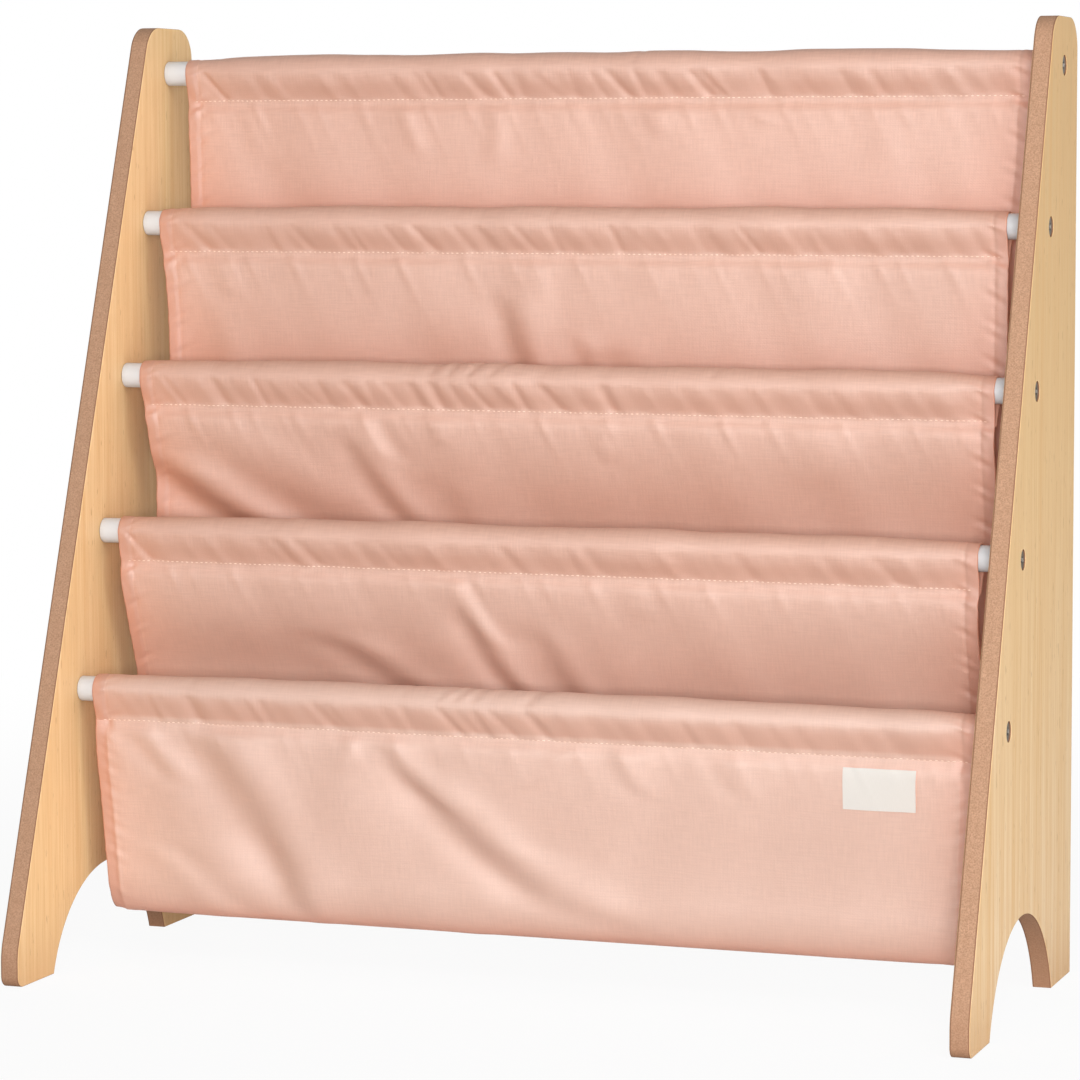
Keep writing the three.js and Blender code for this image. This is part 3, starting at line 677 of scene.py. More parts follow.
def inset(outline, distance):
    """The closed outline moved inwards: each point goes back along the mitre of its two edges."""
    edges = np.roll(outline, -1, 0) - outline
    edges /= np.linalg.norm(edges, axis=1, keepdims=True)
    normals = np.stack([edges[:, 1], -edges[:, 0]], -1)
    before = np.roll(normals, 1, 0)
    mitre = (normals + before) / (1 + (normals * before).sum(1, keepdims=True))
    return outline - mitre * distance


def filled(points, loops, flip):
    """Triangles of the flat face between an outline and its holes, all given as rows of points."""
    ids = np.concatenate(loops)
    triangles = np.array(tessellate_polygon([[Vector(p) for p in points[loop][:, 1:]] for loop in loops]))
    a, b, c = (points[ids[triangles[:, k]]][:, 1:] for k in range(3))
    turn = np.cross(b - a, c - a)
    return ids[np.where((turn > 0)[:, None] != flip, triangles[:, ::-1], triangles)]


def panel_mesh(name, side, ease, material):
    """A board cut to the outline: rings of it climb through the thickness with rounded arrises, and
    both faces are filled flat round five stepped bolt holes. Side is -1 for the left panel."""
    outline = panel_outline()
    outline = outline[np.linalg.norm(outline - np.roll(outline, 1, 0), axis=1) > 1e-6]
    bend = np.linspace(0, np.pi / 2, 4)
    depth = np.concatenate([[0, 0], (ease * (1 - np.cos(bend)))[1:], [2 * ease]])
    back = np.concatenate([[2 * ease, ease], (ease * (1 - np.sin(bend)))[1:], [0]])
    depth = np.concatenate([depth, PANEL_THICKNESS - depth[::-1]])
    back = np.concatenate([back, back[::-1]])
    rings = np.stack([inset(outline, b) for b in back])
    walls = np.concatenate([np.broadcast_to(depth[:, None, None], (*rings.shape[:2], 1)), rings], -1)
    points, faces = [walls.reshape(-1, 3)], [grid_faces(len(depth), len(outline), wrap_columns=True)]
    count = len(points[0])
    outer, inner = [np.arange(len(outline))], [np.arange(len(outline)) + (len(depth) - 1) * len(outline)]
    seat = HEAD_SINK + HEAD_HEIGHT + GAP
    profile = np.array([[HEAD_RADIUS + GAP + 0.3, 0], [HEAD_RADIUS + GAP, 0.3], [HEAD_RADIUS + GAP, seat],
                        [BOLT_RADIUS + GAP, seat], [BOLT_RADIUS + GAP, PANEL_THICKNESS]])
    ring = np.arange(FITTING_SIDES)
    for i in range(ROD_COUNT):
        points.append(turned(profile, FITTING_SIDES, rod_axis(i)))
        faces.append(grid_faces(len(profile), FITTING_SIDES, wrap_columns=True, flip=True) + count)
        outer.append(ring + count)
        inner.append(ring + count + FITTING_SIDES * (len(profile) - 1))
        count += FITTING_SIDES * len(profile)
    points = np.concatenate(points)
    faces += [filled(points, outer, False), filled(points, inner, True)]
    points[:, 0] = side * (WIDTH / 2 - points[:, 0])
    if side > 0:
        faces = [f[:, ::-1] for f in faces]
    return add_mesh(name, points, [f for block in faces for f in block], material, sharp=math.radians(32))


def bolt_mesh(name, side, i, material):
    """A socket-head bolt: eased head with a hexagon socket, and a plain shank."""
    socket = SOCKET_ACROSS / 2
    recess = [(0.4, SOCKET_DEPTH), (socket - 0.1, SOCKET_DEPTH), (socket, SOCKET_DEPTH - 0.15),
              (socket, 0.25), (socket + 0.25, 0)]
    round_part = [(HEAD_RADIUS - 0.9, 0), (HEAD_RADIUS - 0.5, 0.06), (HEAD_RADIUS - 0.15, 0.3),
                  (HEAD_RADIUS, 0.8), (HEAD_RADIUS, HEAD_HEIGHT - 0.1), (HEAD_RADIUS - 0.1, HEAD_HEIGHT),
                  (BOLT_RADIUS, HEAD_HEIGHT), (BOLT_RADIUS, BOLT_LENGTH - 1), (BOLT_RADIUS - 1, BOLT_LENGTH)]
    profile = recess + round_part
    points = turned(profile, FITTING_SIDES, rod_axis(i), [1] * len(recess) + [0] * len(round_part))
    points[:, 0] = side * (WIDTH / 2 - HEAD_SINK - points[:, 0])
    ring = np.arange(FITTING_SIDES)
    faces = [*grid_faces(len(profile), FITTING_SIDES, wrap_columns=True), ring[::-1],
             ring + FITTING_SIDES * (len(profile) - 1)]
    if side < 0:
        faces = [f[::-1] for f in faces]
    return add_mesh(name, points, [f[::-1] for f in faces], material, sharp=math.radians(40))


def rod_mesh(i, material):
    """A tube: a closed wall section with rounded ends, carried once round its line."""
    inner, half = ROD_RADIUS - ROD_WALL, PANEL_INNER_X - GAP
    e = ROD_END_ROUND
    end = [(inner, -half + e), (inner + 0.1, -half + 0.1), (inner + e, -half), (ROD_RADIUS - e, -half),
           (ROD_RADIUS - 0.1, -half + 0.1), (ROD_RADIUS, -half + e), (ROD_RADIUS, -half + 4)]
    profile = end + [(r, -x) for r, x in reversed(end)]
    points = turned(profile, ROD_SIDES, rod_axis(i))
    faces = grid_faces(len(profile), ROD_SIDES, wrap_rows=True, wrap_columns=True)
    return add_mesh(f"rod_tube_{i + 1}", points, faces, material, sharp=math.radians(40))


# Shader expressions


class Value:
    """A number socket of a material: arithmetic on it adds Math nodes."""

    def __init__(self, net, socket):
        self.net, self.socket = net, socket

    def _math(self, operation, *terms):
        sockets = {str(k): term for k, term in enumerate(terms)}
        node = self.net.node("ShaderNodeMath", {"operation": operation}, **sockets)
        return Value(self.net, node.outputs[0])

    def __add__(self, other):
        return self._math("ADD", self, other)

    __radd__ = __add__

    def __mul__(self, other):
        return self._math("MULTIPLY", self, other)

    __rmul__ = __mul__

    def __sub__(self, other):
        return self._math("SUBTRACT", self, other)

    def __rsub__(self, other):
        return self._math("SUBTRACT", other, self)

    def __pow__(self, other):
        return self._math("POWER", self, other)

    def __abs__(self):
        return self._math("ABSOLUTE", self)

    def sine(self):
        return self._math("SINE", self)

    def above(self, low, high):
        """Nought below low, one above high and an even S between."""
        node = self.net.node("ShaderNodeMapRange", {"interpolation_type": "SMOOTHSTEP"},
                             **{"Value": self, "From Min": low, "From Max": high})
        return Value(self.net, node.outputs[0])


class Net:
    """One material or world being written: node() adds any node, and the rest are short ways to
    common ones."""

    def __init__(self, name, store=bpy.data.materials, output="ShaderNodeOutputMaterial"):
        self.owner = store.new(name)
        self.owner.use_nodes = True
        self.tree = self.owner.node_tree
        self.tree.nodes.clear()
        self.output = self.node(output)

    def node(self, kind, settings=None, **inputs):
        """A node of a type: its settings are set first, then its sockets get values or links."""
        made = self.tree.nodes.new(kind)
        for key, value in (settings or {}).items():
            setattr(made, key, value)
        for key, value in inputs.items():
            socket = made.inputs[int(key)] if key.isdigit() else made.inputs[key]
            value = value.socket if isinstance(value, Value) else value
            if isinstance(value, bpy.types.NodeSocket):
                self.link(value, socket)
            else:
                socket.default_value = value
        return made

    def link(self, output, socket):
        self.tree.links.new(output, socket)

    def mix(self, share, a, b):
        """From colour a to colour b by a share."""
        made = self.node("ShaderNodeMix", {"data_type": "RGBA"}, **{"0": share, "6": a, "7": b})
        return made.outputs[2]

    def toned(self, base, colour, *layers):
        """The base with layers over it: each is a share, and the factors that tint the colour there."""
        for share, factors in layers:
            base = self.mix(share, base, tint(colour, factors))
        return base

    def speckled(self, share, colour, low, high):
        """From one tint of a colour to another by a share."""
        return self.mix(share, tint(colour, low), tint(colour, high))

    def place(self, kind):
        return self.node("ShaderNodeTexCoord").outputs[kind]

    def stretched(self, vector, scale):
        """The same place with each direction scaled."""
        made = self.node("ShaderNodeVectorMath", {"operation": "MULTIPLY"}, **{"0": vector, "1": scale})
        return made.outputs[0]

    def streaked(self, vector, scale, detail=3.0, roughness=0.5):
        """Noise drawn out by a scale for each direction."""
        return self.noise(self.stretched(vector, scale), 1.0, detail, roughness)

    def parts(self, vector):
        return [Value(self, s) for s in self.node("ShaderNodeSeparateXYZ", None, **{"0": vector}).outputs]

    def noise(self, vector, scale, detail=3.0, roughness=0.5):
        made = self.node("ShaderNodeTexNoise", None, Vector=vector, Scale=scale, Detail=detail,
                         Roughness=roughness)
        return Value(self, made.outputs["Fac"])

    def corner(self, low):
        """Painted shade from how closed in a place is: nought while no more than the low share of its
        directions is closed, and 0.6 deep in a corner."""
        made = self.node("ShaderNodeAmbientOcclusion", {"samples": CORNER_SAMPLES}, Distance=CORNER_REACH)
        return (1 - Value(self, made.outputs["AO"])).above(low, 0.6) * 0.6

    def bump(self, height, strength, distance):
        made = self.node("ShaderNodeBump", None, Height=height, Strength=strength, Distance=distance)
        return made.outputs[0]

    def show(self, shader):
        """Joins a shader to the output and returns the material or world."""
        self.link(shader.outputs[0], self.output.inputs[0])
        return self.owner

    def blend(self, share, first, second):
        """Two shaders mixed by a share."""
        return self.node("ShaderNodeMixShader", None, **{"0": share, "1": first.outputs[0],
                                                         "2": second.outputs[0]})

    def surface(self, base, **sockets):
        """The Principled shader with this base colour and these sockets."""
        return self.node("ShaderNodeBsdfPrincipled", None, **{"Base Color": base, **sockets})


def tint(colour, factor):
    """A colour with each part scaled, kept in range."""
    return (*(min(1.0, c * f) for c, f in zip(colour[:3], factor)), 1.0)


def cloth_material(settings):
    """Plain-woven cloth: crossed threads, slubs along both ways, a soft sheen, hems darker partly by their
    own deeper colour and partly by painted shade, painted shade under each rod and in corners, and
    painted light that makes it paler low down."""
    net = Net("peach_plain_weave")
    colour = settings.cloth_colour
    uv = net.place("UV")
    u, v, _ = net.parts(uv)
    turn = 2 * math.pi / settings.weave_pitch
    weave = (u * turn).sine() * (v * turn).sine()
    slubs = net.streaked(uv, (1000.0, 70.0, 1.0), 2.0) + net.streaked(uv, (70.0, 1000.0, 1.0), 2.0)
    clouds = net.noise(uv, 9.0, 2.0)
    hem_line, half_thread = COVER_HALF * MM - settings.hem_width, 0.0006
    turned_edge = abs(u).above(hem_line - half_thread, hem_line + half_thread)
    _, _, z = net.parts(net.place("Object"))
    # v is metres down the cloth: painted shade darkens the band from under the rod to just above the seam
    under_sleeve_shade = v.above(0.060, 0.069) * (1 - v.above(0.0765, 0.0795))
    base = net.speckled((slubs - 1.0) * 2.0 + 0.5, colour, (0.93, 0.905, 0.895), (1.06, 1.085, 1.095))
    base = net.toned(base, colour, (clouds.above(0.35, 0.7) * 0.25, (0.97, 0.93, 0.9)))
    # Painted light: the cloth is paler low down, standing in for light thrown up from the floor
    base = net.mix((1 - z.above(0.16, 0.29)) * 0.17, base, (1.0, 0.9, 0.8, 1.0))
    # Painted shade under each sleeve and in the corners; over the hems the darker colour is partly the hem's
    # own and partly painted shade at the cover's ends
    base = net.toned(base, colour, (under_sleeve_shade * 0.75, (0.935, 0.865, 0.82)),
                     (turned_edge * (clouds * 0.5 + 0.6), (0.86, 0.79, 0.76)),
                     (net.corner(0.08), (1.2, 0.84, 0.72)))
    seen = net.surface(base, **{"Roughness": 0.55, "IOR": 2.55, "Sheen Weight": 0.1, "Sheen Roughness": 0.4,
                                "Sheen Tint": tint(colour, (1.1, 1.1, 1.1)),
                                "Normal": net.bump(weave * 0.5 + slubs, 0.35, 0.00025)})
    through = net.node("ShaderNodeBsdfTranslucent", None, Color=tint(colour, (1.1, 0.95, 0.86)))
    return net.show(net.blend(settings.light_through, seen, through))


def thread_material(settings):
    """Twisted sewing thread, a shade lighter than the cloth."""
    net = Net("peach_thread")
    place = net.place("Object")
    ply = net.noise(place, 4200.0, 1.0) * 0.5 + net.noise(place, 70.0, 2.0).above(0.35, 0.65) * 0.5
    base = net.speckled(ply, settings.cloth_colour, (1.12, 1.32, 1.4), (1.3, 1.7, 1.95))
    return net.show(net.surface(base, **{"Roughness": 0.55, "Sheen Weight": 0.2,
                                         "Normal": net.bump(ply, 0.3, 0.0001)}))


def board_material(settings):
    """Fibreboard with a wood foil on both faces: the foil's grain runs upright, the cut edges show
    the fibres between two thin lines where the foil ends, corners are darkened with painted shade, and
    the outer faces carry painted light low down and painted shade up high."""
    net = Net("maple_foil_board")
    place = net.place("Object")
    x, _, z = net.parts(place)
    foil, edge = settings.foil_colour, settings.edge_colour
    broad = net.streaked(place, (3.0, 22.0, 1.6), 3.0, 0.55)
    streaks = net.streaked(place, (30.0, 420.0, 7.0), 4.0, 0.6)
    pores = net.streaked(place, (60.0, 1500.0, 26.0), 2.0)
    flecks = net.streaked(place, (50.0, 620.0, 95.0), 1.0, 0.4)
    grain = net.streaked(place, (30.0, 115.0, 2.4), 3.0, 0.6)
    veins = net.streaked(place, (20.0, 75.0, 1.3), 2.0)
    # Painted shade: the faces and the cut edges are darker and warmer where the board is closed in
    corner = net.corner(0.05)
    outside = abs(x).above((PANEL_INNER_X + 5) * MM, (PANEL_INNER_X + 7) * MM)
    # Painted light and shade: the outer faces are paler and bluer towards the foot and darker up high
    face = net.speckled(outside * (1 - z.above(-0.05, 0.4)), foil, (1.0, 1.0, 1.0), (1.04, 1.15, 1.46))
    face = net.toned(face, foil, (outside * z.above(0.25, 0.65), (0.75, 0.69, 0.58)),
                     (broad.above(0.3, 0.75) * 0.5, (0.93, 0.875, 0.8)),
                     (grain.above(0.36, 0.64) * 0.6, (0.9, 0.83, 0.74)),
                     (streaks.above(0.4, 0.68) * 0.7, (0.88, 0.79, 0.67)),
                     (pores.above(0.54, 0.7) * 0.5, (0.76, 0.64, 0.5)),
                     (veins.above(0.6, 0.7) * 0.5, (0.86, 0.72, 0.54)),
                     (flecks.above(0.7, 0.78) * 0.6, (0.5, 0.36, 0.24)),
                     (corner, (0.62, 0.5, 0.44)))
    fibres = net.noise(place, 1050.0, 3.0, 0.7)
    lumps = net.noise(place, 160.0, 2.0)
    half = PANEL_THICKNESS / 2 * MM
    off_middle = abs(abs(x) - (PANEL_INNER_X * MM + half))
    on_face = off_middle.above(half - 0.00035, half - 0.00015)
    border = off_middle.above(half - 0.0013, half - 0.0008) * (1 - on_face)
    cut = net.speckled(fibres.above(0.33, 0.67), edge, (0.8, 0.79, 0.75), (1.18, 1.21, 1.22))
    cut = net.toned(cut, edge, (lumps.above(0.35, 0.7) * 0.3, (0.88, 0.84, 0.78)),
                    (border * 0.8, (0.5, 0.42, 0.36)), (corner, (0.68, 0.6, 0.52)))
    height = on_face * (pores * 0.25 + streaks * 0.2) + (1 - on_face) * (fibres * 1.6 + lumps)
    return net.show(net.surface(net.mix(on_face, cut, face), **{
        "Roughness": 0.52 + (1 - on_face) * 0.3 + (streaks - 0.5) * 0.08, "Specular IOR Level": 0.35,
        "Normal": net.bump(height, 0.35, 0.00025)}))


def rod_material(settings):
    """White powder coat with its fine pebbled skin."""
    net = Net("white_powder_coat")
    place = net.place("Object")
    pebble, haze = net.noise(place, 900.0, 2.0), net.noise(place, 30.0, 2.0)
    base = net.speckled(haze, settings.rod_colour, (0.985, 0.98, 0.975), (1.01, 1.01, 1.01))
    return net.show(net.surface(base, **{"Roughness": 0.34 + haze * 0.08, "Coat Weight": 0.15,
                                         "Coat Roughness": 0.2, "Normal": net.bump(pebble, 0.18, 0.0002)}))


def bolt_material(settings):
    """Zinc-plated steel: bright, with faint turning marks and dulled patches, and darkened all over by
    painted shade of the recess that holds its head.
    """
    net = Net("zinc_plated_steel")
    place = net.place("Object")
    patches = net.noise(place, 420.0, 3.0)
    marks = net.streaked(place, (300.0, 2600.0, 2600.0), 2.0)
    base = net.speckled(patches, settings.bolt_colour, (0.86, 0.86, 0.88), (1.08, 1.07, 1.04))
    return net.show(net.surface(base, **{"Metallic": 1.0, "Roughness": 0.24 + patches * 0.22,
                                         "Normal": net.bump(marks, 0.15, 0.0001)}))


def plug_material(settings):
    """Grey moulded plastic with a fine spark-eroded skin."""
    net = Net("grey_moulded_plastic")
    skin = net.noise(net.place("Object"), 1400.0, 2.0)
    base = net.speckled(skin, settings.plug_colour, (0.93, 0.93, 0.93), (1.06, 1.06, 1.06))
    return net.show(net.surface(base, **{"Roughness": 0.5 + skin * 0.12,
                                         "Normal": net.bump(skin, 0.2, 0.0001)}))


def label_material(settings):
    """Bare woven tape: close ribs across and a satin face."""
    net = Net("cream_woven_tape")
    colour, rib_pitch, thread_pitch = settings.label_colour, 0.0006, 0.00035
    uv = net.place("UV")
    u, v, _ = net.parts(uv)
    ribs, threads = (v * (2 * math.pi / rib_pitch)).sine(), (u * (2 * math.pi / thread_pitch)).sine()
    soft = net.streaked(uv, (2500.0, 300.0, 1.0), 2.0)
    base = net.speckled(soft, colour, (0.96, 0.95, 0.93), (1.03, 1.03, 1.04))
    base = net.toned(base, colour, (ribs * 0.12 + 0.12, (0.88, 0.86, 0.83)))
    return net.show(net.surface(base, **{"Roughness": 0.62, "Sheen Weight": 0.2,
                                         "Normal": net.bump(ribs * 0.6 + threads * 0.3, 0.3, 0.0001)}))


def sky_world(settings):
    """An even white sky: full white to the camera, weaker to glossy rays and weakest as light."""
    net = Net("even_sky", bpy.data.worlds, "ShaderNodeOutputWorld")
    path, sky = net.node("ShaderNodeLightPath"), settings.sky_strength
    camera, glossy = (Value(net, path.outputs[name]) for name in ("Is Camera Ray", "Is Glossy Ray"))
    strength = camera * (1 - sky) + glossy * (settings.sky_shine - sky) + sky
    return net.show(net.node("ShaderNodeBackground", None, Color=(1, 1, 1, 1), Strength=strength))


def floor_material(settings):
    """A pale floor that the camera sees as white round the object's soft shadow."""
    net = Net("pale_floor")
    place = net.place("Object")
    x, y, _ = net.parts(place)
    tone = net.noise(place, 3.0, 2.0)
    tone = net.speckled(tone, settings.floor_colour, (1.0, 1.0, 1.0), (1.01, 1.01, 1.01))
    matte = net.node("ShaderNodeBsdfDiffuse", None, Color=tone)
    white = net.node("ShaderNodeEmission", None, Color=(1, 1, 1, 1), Strength=1.0)
    seen = Value(net, net.node("ShaderNodeLightPath").outputs["Is Camera Ray"])
    far, near_white = ((x * x + y * y) ** 0.5).above(0.45, 1.6), settings.floor_white
    return net.show(net.blend(seen * (far * (1 - near_white) + near_white), matte, white))


# Settings


def colour(name, description, *default):
    """A colour setting with its opaque default."""
    return bpy.props.FloatVectorProperty(name=name, description=description, subtype="COLOR", size=4,
                                         min=0, max=1, default=(*default, 1))


def length(name, description, default):
    """A length setting in metres."""
    return bpy.props.FloatProperty(name=name, description=description, unit="LENGTH", default=default,
                                   precision=5)


def share(name, description, default):
    """A setting between nought and one."""
    return bpy.props.FloatProperty(name=name, description=description, subtype="FACTOR", min=0, max=1,
                                   default=default)


def power(name, description, default):
    """A lamp's power in watts."""
    return bpy.props.FloatProperty(name=name, description=description, unit="POWER", default=default)


class CoverSettings(bpy.types.PropertyGroup):
    """The cover's cloth, hems and stitches"""

    cloth_colour: colour("Cloth colour", "Base colour of the cover and its thread", 0.72, 0.414, 0.300)
    cloth_thickness: length("Cloth thickness", "Thickness of one layer of cloth", 0.0008)
    weave_pitch: length("Weave pitch", "Distance between two threads of the weave", 0.0009)
    hem_width: length("Hem width", "Width of the turned hem at each side of the cover", 0.008)
    stitch_length: length("Stitch length", "Length of one stitch that shows", 0.0024)
    stitch_pitch: length("Stitch pitch", "Distance from one stitch to the next", 0.0034)
    thread_diameter: length("Thread diameter", "Thickness of the sewing thread", 0.0006)
    light_through: share("Light through", "Share of the light that shines through the cloth", 0.2)


class PanelSettings(bpy.types.PropertyGroup):
    """The side panels' colours and edges"""

    foil_colour: colour("Foil colour", "Colour of the wood foil on the panels' faces", 0.94, 0.665, 0.36)
    edge_colour: colour("Edge colour", "Colour of the cut fibreboard edges", 0.44, 0.25, 0.155)
    edge_ease: length("Edge ease", "Radius of the panels' rounded arrises", 0.0006)


class MetalSettings(bpy.types.PropertyGroup):
    """The colours of the rods, bolts and plugs"""

    rod_colour: colour("Rod colour", "Colour of the rods' powder coat", 0.605, 0.625, 0.65)
    # Painted shade: the bolts' colour is darkened to stand for the shade in their recesses
    bolt_colour: colour("Bolt colour", "Colour of the plated bolts", 0.24, 0.22, 0.2)
    plug_colour: colour("Plug colour", "Colour of the plastic plugs in the rods", 0.26, 0.26, 0.27)


class LabelSettings(bpy.types.PropertyGroup):
    """The bare label"""

    label_colour: colour("Label colour", "Colour of the bare woven label", 0.675, 0.645, 0.605)
    label_thickness: length("Label thickness", "Thickness of the label's tape", 0.0005)


class StageSettings(bpy.types.PropertyGroup):
    """The floor, the lamps and the sky"""

    floor_colour: colour("Floor colour", "Colour of the floor", 0.78, 0.78, 0.78)
    floor_white: share("Floor white", "Share of plain white that the camera sees on the floor", 0.93)
    key_power: power("Key light", "Power of the low soft light in front", 69.0)
    high_power: power("High light", "Power of the soft light from above on the right", 27.0)
    side_power: power("Side light", "Power of the soft light from the right", 13.0)
    low_power: power("Low light", "Power of the small light near the floor on the right", 0.8)
    rear_power: power("Rear light", "Power of the soft light behind on the left", 26.0)
    sky_strength: share("Sky strength", "Brightness of the even light from all round", 0.26)
    sky_shine: share("Sky shine", "Brightness of the sky in glossy reflections", 0.62)


# Operators


class SHELF_OT_panels(bpy.types.Operator):
    """Build both side panels with their bolt recesses"""
    bl_idname = "shelf.panels"
    bl_label = "Side Panels"

    def execute(self, context):
        settings = context.scene.shelf_panels
        material = board_material(settings)
        for side, word in ((-1, "left"), (1, "right")):
            piece = panel_mesh(f"{word}_panel_board", side, settings.edge_ease / MM, material)
            settle(piece, "board", f"{word}_side_panel")
        return {"FINISHED"}


class SHELF_OT_rods(bpy.types.Operator):
    """Build the five rods and finish the plugs inside their ends"""
    bl_idname = "shelf.rods"
    bl_label = "Rods"

    def execute(self, context):
        settings = context.scene.shelf_metal
        coat, plastic = rod_material(settings), plug_material(settings)
        for i in range(ROD_COUNT):
            settle(rod_mesh(i, coat), "rod", f"rod_{i + 1}")
            for word in ("left", "right"):
                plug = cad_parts[f"{word}_plug_{i + 1}"]
                plug.data.materials.clear()
                plug.data.materials.append(plastic)
        return {"FINISHED"}


class SHELF_OT_bolts(bpy.types.Operator):
    """Build the ten socket-head bolts"""
    bl_idname = "shelf.bolts"
    bl_label = "Bolts"

    def execute(self, context):
        material = bolt_material(context.scene.shelf_metal)
        for side, word in ((-1, "left"), (1, "right")):
            for i in range(ROD_COUNT):
                piece = bolt_mesh(f"{word}_socket_bolt_{i + 1}", side, i, material)
                settle(piece, "bolt", f"{word}_bolt_{i + 1}")
        return {"FINISHED"}


class SHELF_OT_cover(bpy.types.Operator):
    """Build the sewn cover: four tiers, the front sleeve and all its stitches"""
    bl_idname = "shelf.cover"
    bl_label = "Cloth Cover"

    def execute(self, context):
        settings = context.scene.shelf_cover
        cloth, thread = cloth_material(settings), thread_material(settings)
        for i in range(ROD_COUNT):
            last = i == ROD_COUNT - 1
            sheet = front_sleeve_sheet(settings) if last else tier_sheet(i, settings)
            name = "cover_front_sleeve" if last else f"cover_tier_{i + 1}"
            piece = add_sheet(name, sheet.places, sheet.columns, sheet.so_far, settings.cloth_thickness,
                              cloth)
            settle(piece, "cloth", f"sleeve_{i + 1}", *([] if last else [f"pocket_{i + 1}"]))
            sewn = [settle(s, "cloth") for s in self.sew(name, sheet, settings, thread)]
            sheet.so_far[-1] * MM
        return {"FINISHED"}

    def sew(self, name, sheet, settings, thread):
        """The seam under the sleeve, and the line along each hem."""
        pitch = settings.stitch_pitch / MM
        lift = settings.cloth_thickness / MM / 2 - 0.05
        count = int((2 * COVER_HALF - 6) / pitch)
        x = (np.arange(count) - (count - 1) / 2) * pitch
        row = np.full(count, sheet.seam_row - 0.25) + 0.12 * wander(x, 40, 5)
        made = [stitches(f"{name}_seam_stitches", sheet, row, sheet.column_at(x), False,
                         settings, thread, lift)]
        along = np.arange(4, sheet.so_far[-1] - 4, pitch)
        for side, word in ((-1, "left"), (1, "right")):
            column = sheet.column_at(np.full(len(along), side * (COVER_HALF - settings.hem_width / MM)))
            made.append(stitches(f"{name}_{word}_hem_stitches", sheet, sheet.row_at(along), column, True,
                                 settings, thread, lift - HEM_STITCH_SINK))
        return made


class SHELF_OT_label(bpy.types.Operator):
    """Build the bare woven label on the lowest pocket's front"""
    bl_idname = "shelf.label"
    bl_label = "Label"

    def execute(self, context):
        settings, cover = context.scene.shelf_label, context.scene.shelf_cover
        sheet = tier_sheet(LOWEST, cover)
        total = sheet.so_far[-1]
        down = total - LABEL_BELOW_SEAM + np.linspace(LABEL_HEIGHT / 2, -LABEL_HEIGHT / 2, LABEL_ROWS)
        across = COVER_HALF - LABEL_INSET + np.linspace(-LABEL_WIDTH / 2, LABEL_WIDTH / 2, LABEL_COLUMNS)
        place, out, _, _ = sheet.at(*np.meshgrid(sheet.row_at(down), sheet.column_at(across), indexing="ij"))
        lift = cover.cloth_thickness / MM / 2 + settings.label_thickness / MM / 2 + LABEL_CLEARANCE
        piece = add_sheet("bare_label", place - out * lift, across, down, settings.label_thickness,
                          label_material(settings), label=True)
        settle(piece, "label", "blank_label")
        return {"FINISHED"}


class SHELF_OT_stage(bpy.types.Operator):
    """Set the floor, the soft lights, the world and the camera"""
    bl_idname = "shelf.stage"
    bl_label = "Stage"

    def execute(self, context):
        settings, scene = context.scene.shelf_stage, context.scene
        side = np.linspace(-FLOOR_HALF, FLOOR_HALF, FLOOR_LINES)
        y, x = np.meshgrid(side, side, indexing="ij")
        places = np.stack([x, y, np.full_like(x, -FLOOR_GAP)], -1)
        floor = add_mesh("floor", places.reshape(-1, 3), grid_faces(FLOOR_LINES, FLOOR_LINES),
                         floor_material(settings))
        scene.world = sky_world(settings)
        lamp("key_light", (0.98, -2.90, 0.60), (0, 0, 0.3), 0.8, settings.key_power)
        lamp("high_light", (1.52, -2.09, 2.18), (0, 0, 0.3), 1.0, settings.high_power)
        lamp("side_light", (3.0, -1.0, 0.6), (0, 0, 0.3), 1.0, settings.side_power)
        lamp("low_light", (0.95, -0.3, 0.06), (0.3, 0, 0.08), 0.25, settings.low_power)
        lamp("rear_light", (-1.5, 3.0, 1.0), (0, 0, 0.3), 1.2, settings.rear_power)
        scene.camera = photo_camera()
        scene.view_settings.view_transform = "Standard"
        return {"FINISHED"}


def lamp(name, place, target, size, power):
    """A square area light that faces a point."""
    light = bpy.data.lights.new(name, "AREA")
    light.shape, light.size, light.energy = "SQUARE", size, power
    holder = bpy.data.objects.new(name, light)
    holder.location = place
    holder.rotation_euler = (Vector(target) - Vector(place)).to_track_quat("-Z", "Y").to_euler()
    bpy.context.scene.collection.objects.link(holder)


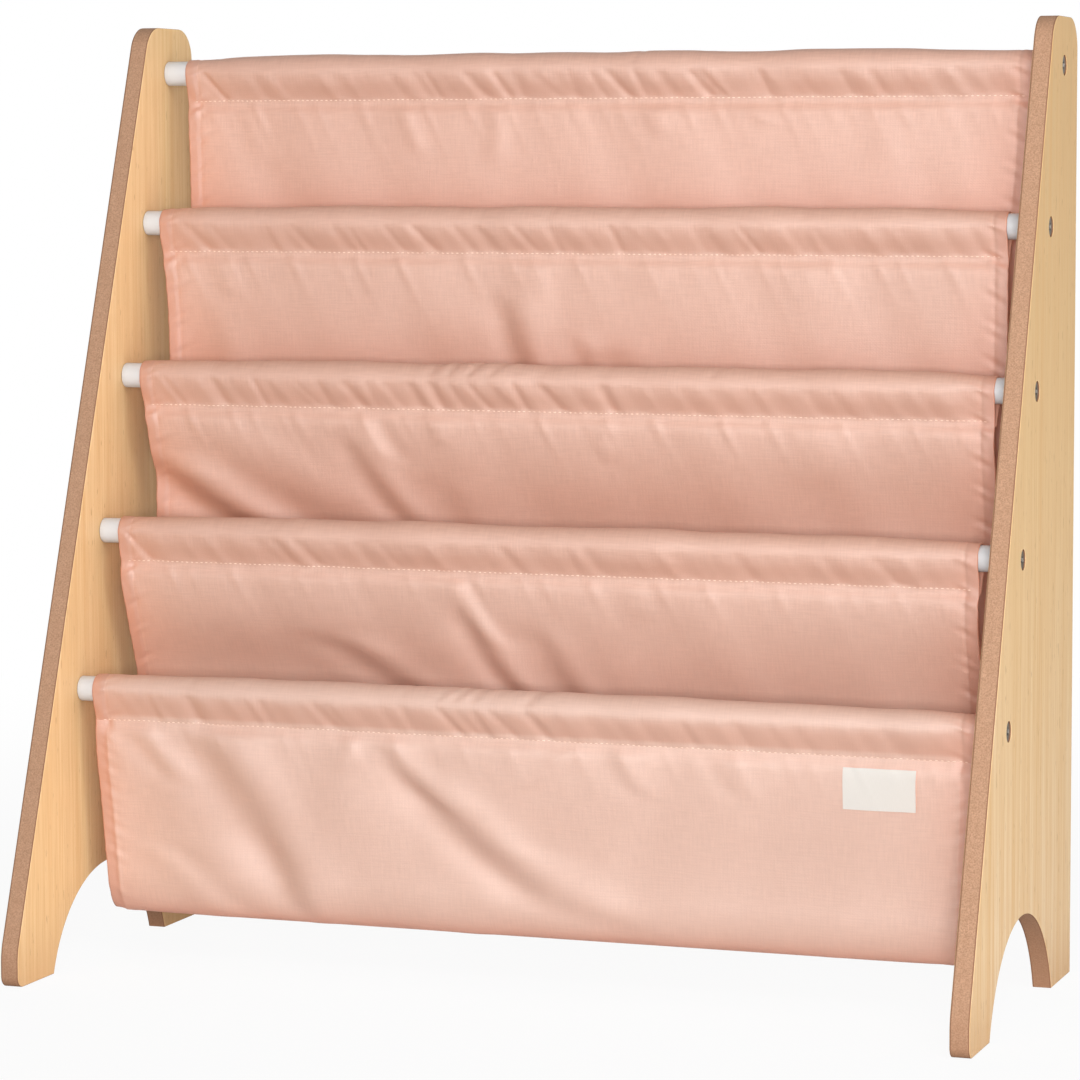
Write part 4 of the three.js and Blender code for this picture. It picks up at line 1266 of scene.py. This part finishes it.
def photo_camera():
    """The camera that the photograph was fitted with: its place, its turn, its lens and the height of
    its optical axis in a square image of 1080 pixels."""
    focal, axis_u, axis_v, image = 4005.71, 540, 460, 1080
    yaw, pitch, roll = 0.34413, 0.07363, 0.00131
    right = np.array([math.cos(yaw), math.sin(yaw), 0])
    ahead = np.array([-math.sin(yaw), math.cos(yaw), 0])
    down = np.array([0, 0, -1.0])
    view = math.cos(pitch) * ahead + math.sin(pitch) * down
    low = -math.sin(pitch) * ahead + math.cos(pitch) * down
    side = math.cos(roll) * right + math.sin(roll) * low
    low = -math.sin(roll) * right + math.cos(roll) * low
    data = bpy.data.cameras.new("photo_camera")
    data.sensor_width, data.lens = 36, focal / image * 36
    data.shift_x, data.shift_y = (image / 2 - axis_u) / image, (axis_v - image / 2) / image
    camera = bpy.data.objects.new("photo_camera", data)
    turn = Matrix(np.stack([side, -low, -view], 1).tolist()).to_4x4()
    camera.matrix_world = Matrix.Translation((0.8375256, -2.33576378, 0.50979542)) @ turn
    bpy.context.scene.collection.objects.link(camera)
    return camera


class SHELF_PT_sidebar(bpy.types.Panel):
    """Lists the steps that build the shelf, with their settings"""
    bl_idname = "SHELF_PT_sidebar"
    bl_label = "Sling Bookshelf"
    bl_space_type = "VIEW_3D"
    bl_region_type = "UI"
    bl_category = "Bookshelf"

    def draw(self, context):
        scene = context.scene
        for group, steps in STEPS:
            box = self.layout.box()
            settings = getattr(scene, group)
            for key in settings.__annotations__:
                box.prop(settings, key)
            for step in steps:
                box.operator(step.bl_idname)


GROUPS = {"shelf_cover": CoverSettings, "shelf_panels": PanelSettings, "shelf_metal": MetalSettings,
          "shelf_label": LabelSettings, "shelf_stage": StageSettings}
STEPS = (("shelf_panels", (SHELF_OT_panels,)), ("shelf_metal", (SHELF_OT_rods, SHELF_OT_bolts)),
         ("shelf_cover", (SHELF_OT_cover,)), ("shelf_label", (SHELF_OT_label,)),
         ("shelf_stage", (SHELF_OT_stage,)))
CLASSES = (*GROUPS.values(), *(step for _, steps in STEPS for step in steps), SHELF_PT_sidebar)


def register():
    for cls in CLASSES:
        bpy.utils.register_class(cls)
    for name, group in GROUPS.items():
        setattr(bpy.types.Scene, name, bpy.props.PointerProperty(type=group))


def unregister():
    for name in GROUPS:
        delattr(bpy.types.Scene, name)
    for cls in reversed(CLASSES):
        bpy.utils.unregister_class(cls)


def main():
    register()
    bpy.ops.shelf.panels()
    bpy.ops.shelf.rods()
    bpy.ops.shelf.bolts()
    bpy.ops.shelf.cover()
    bpy.ops.shelf.label()
    bpy.ops.shelf.stage()


if __name__ == "__main__":
    main()
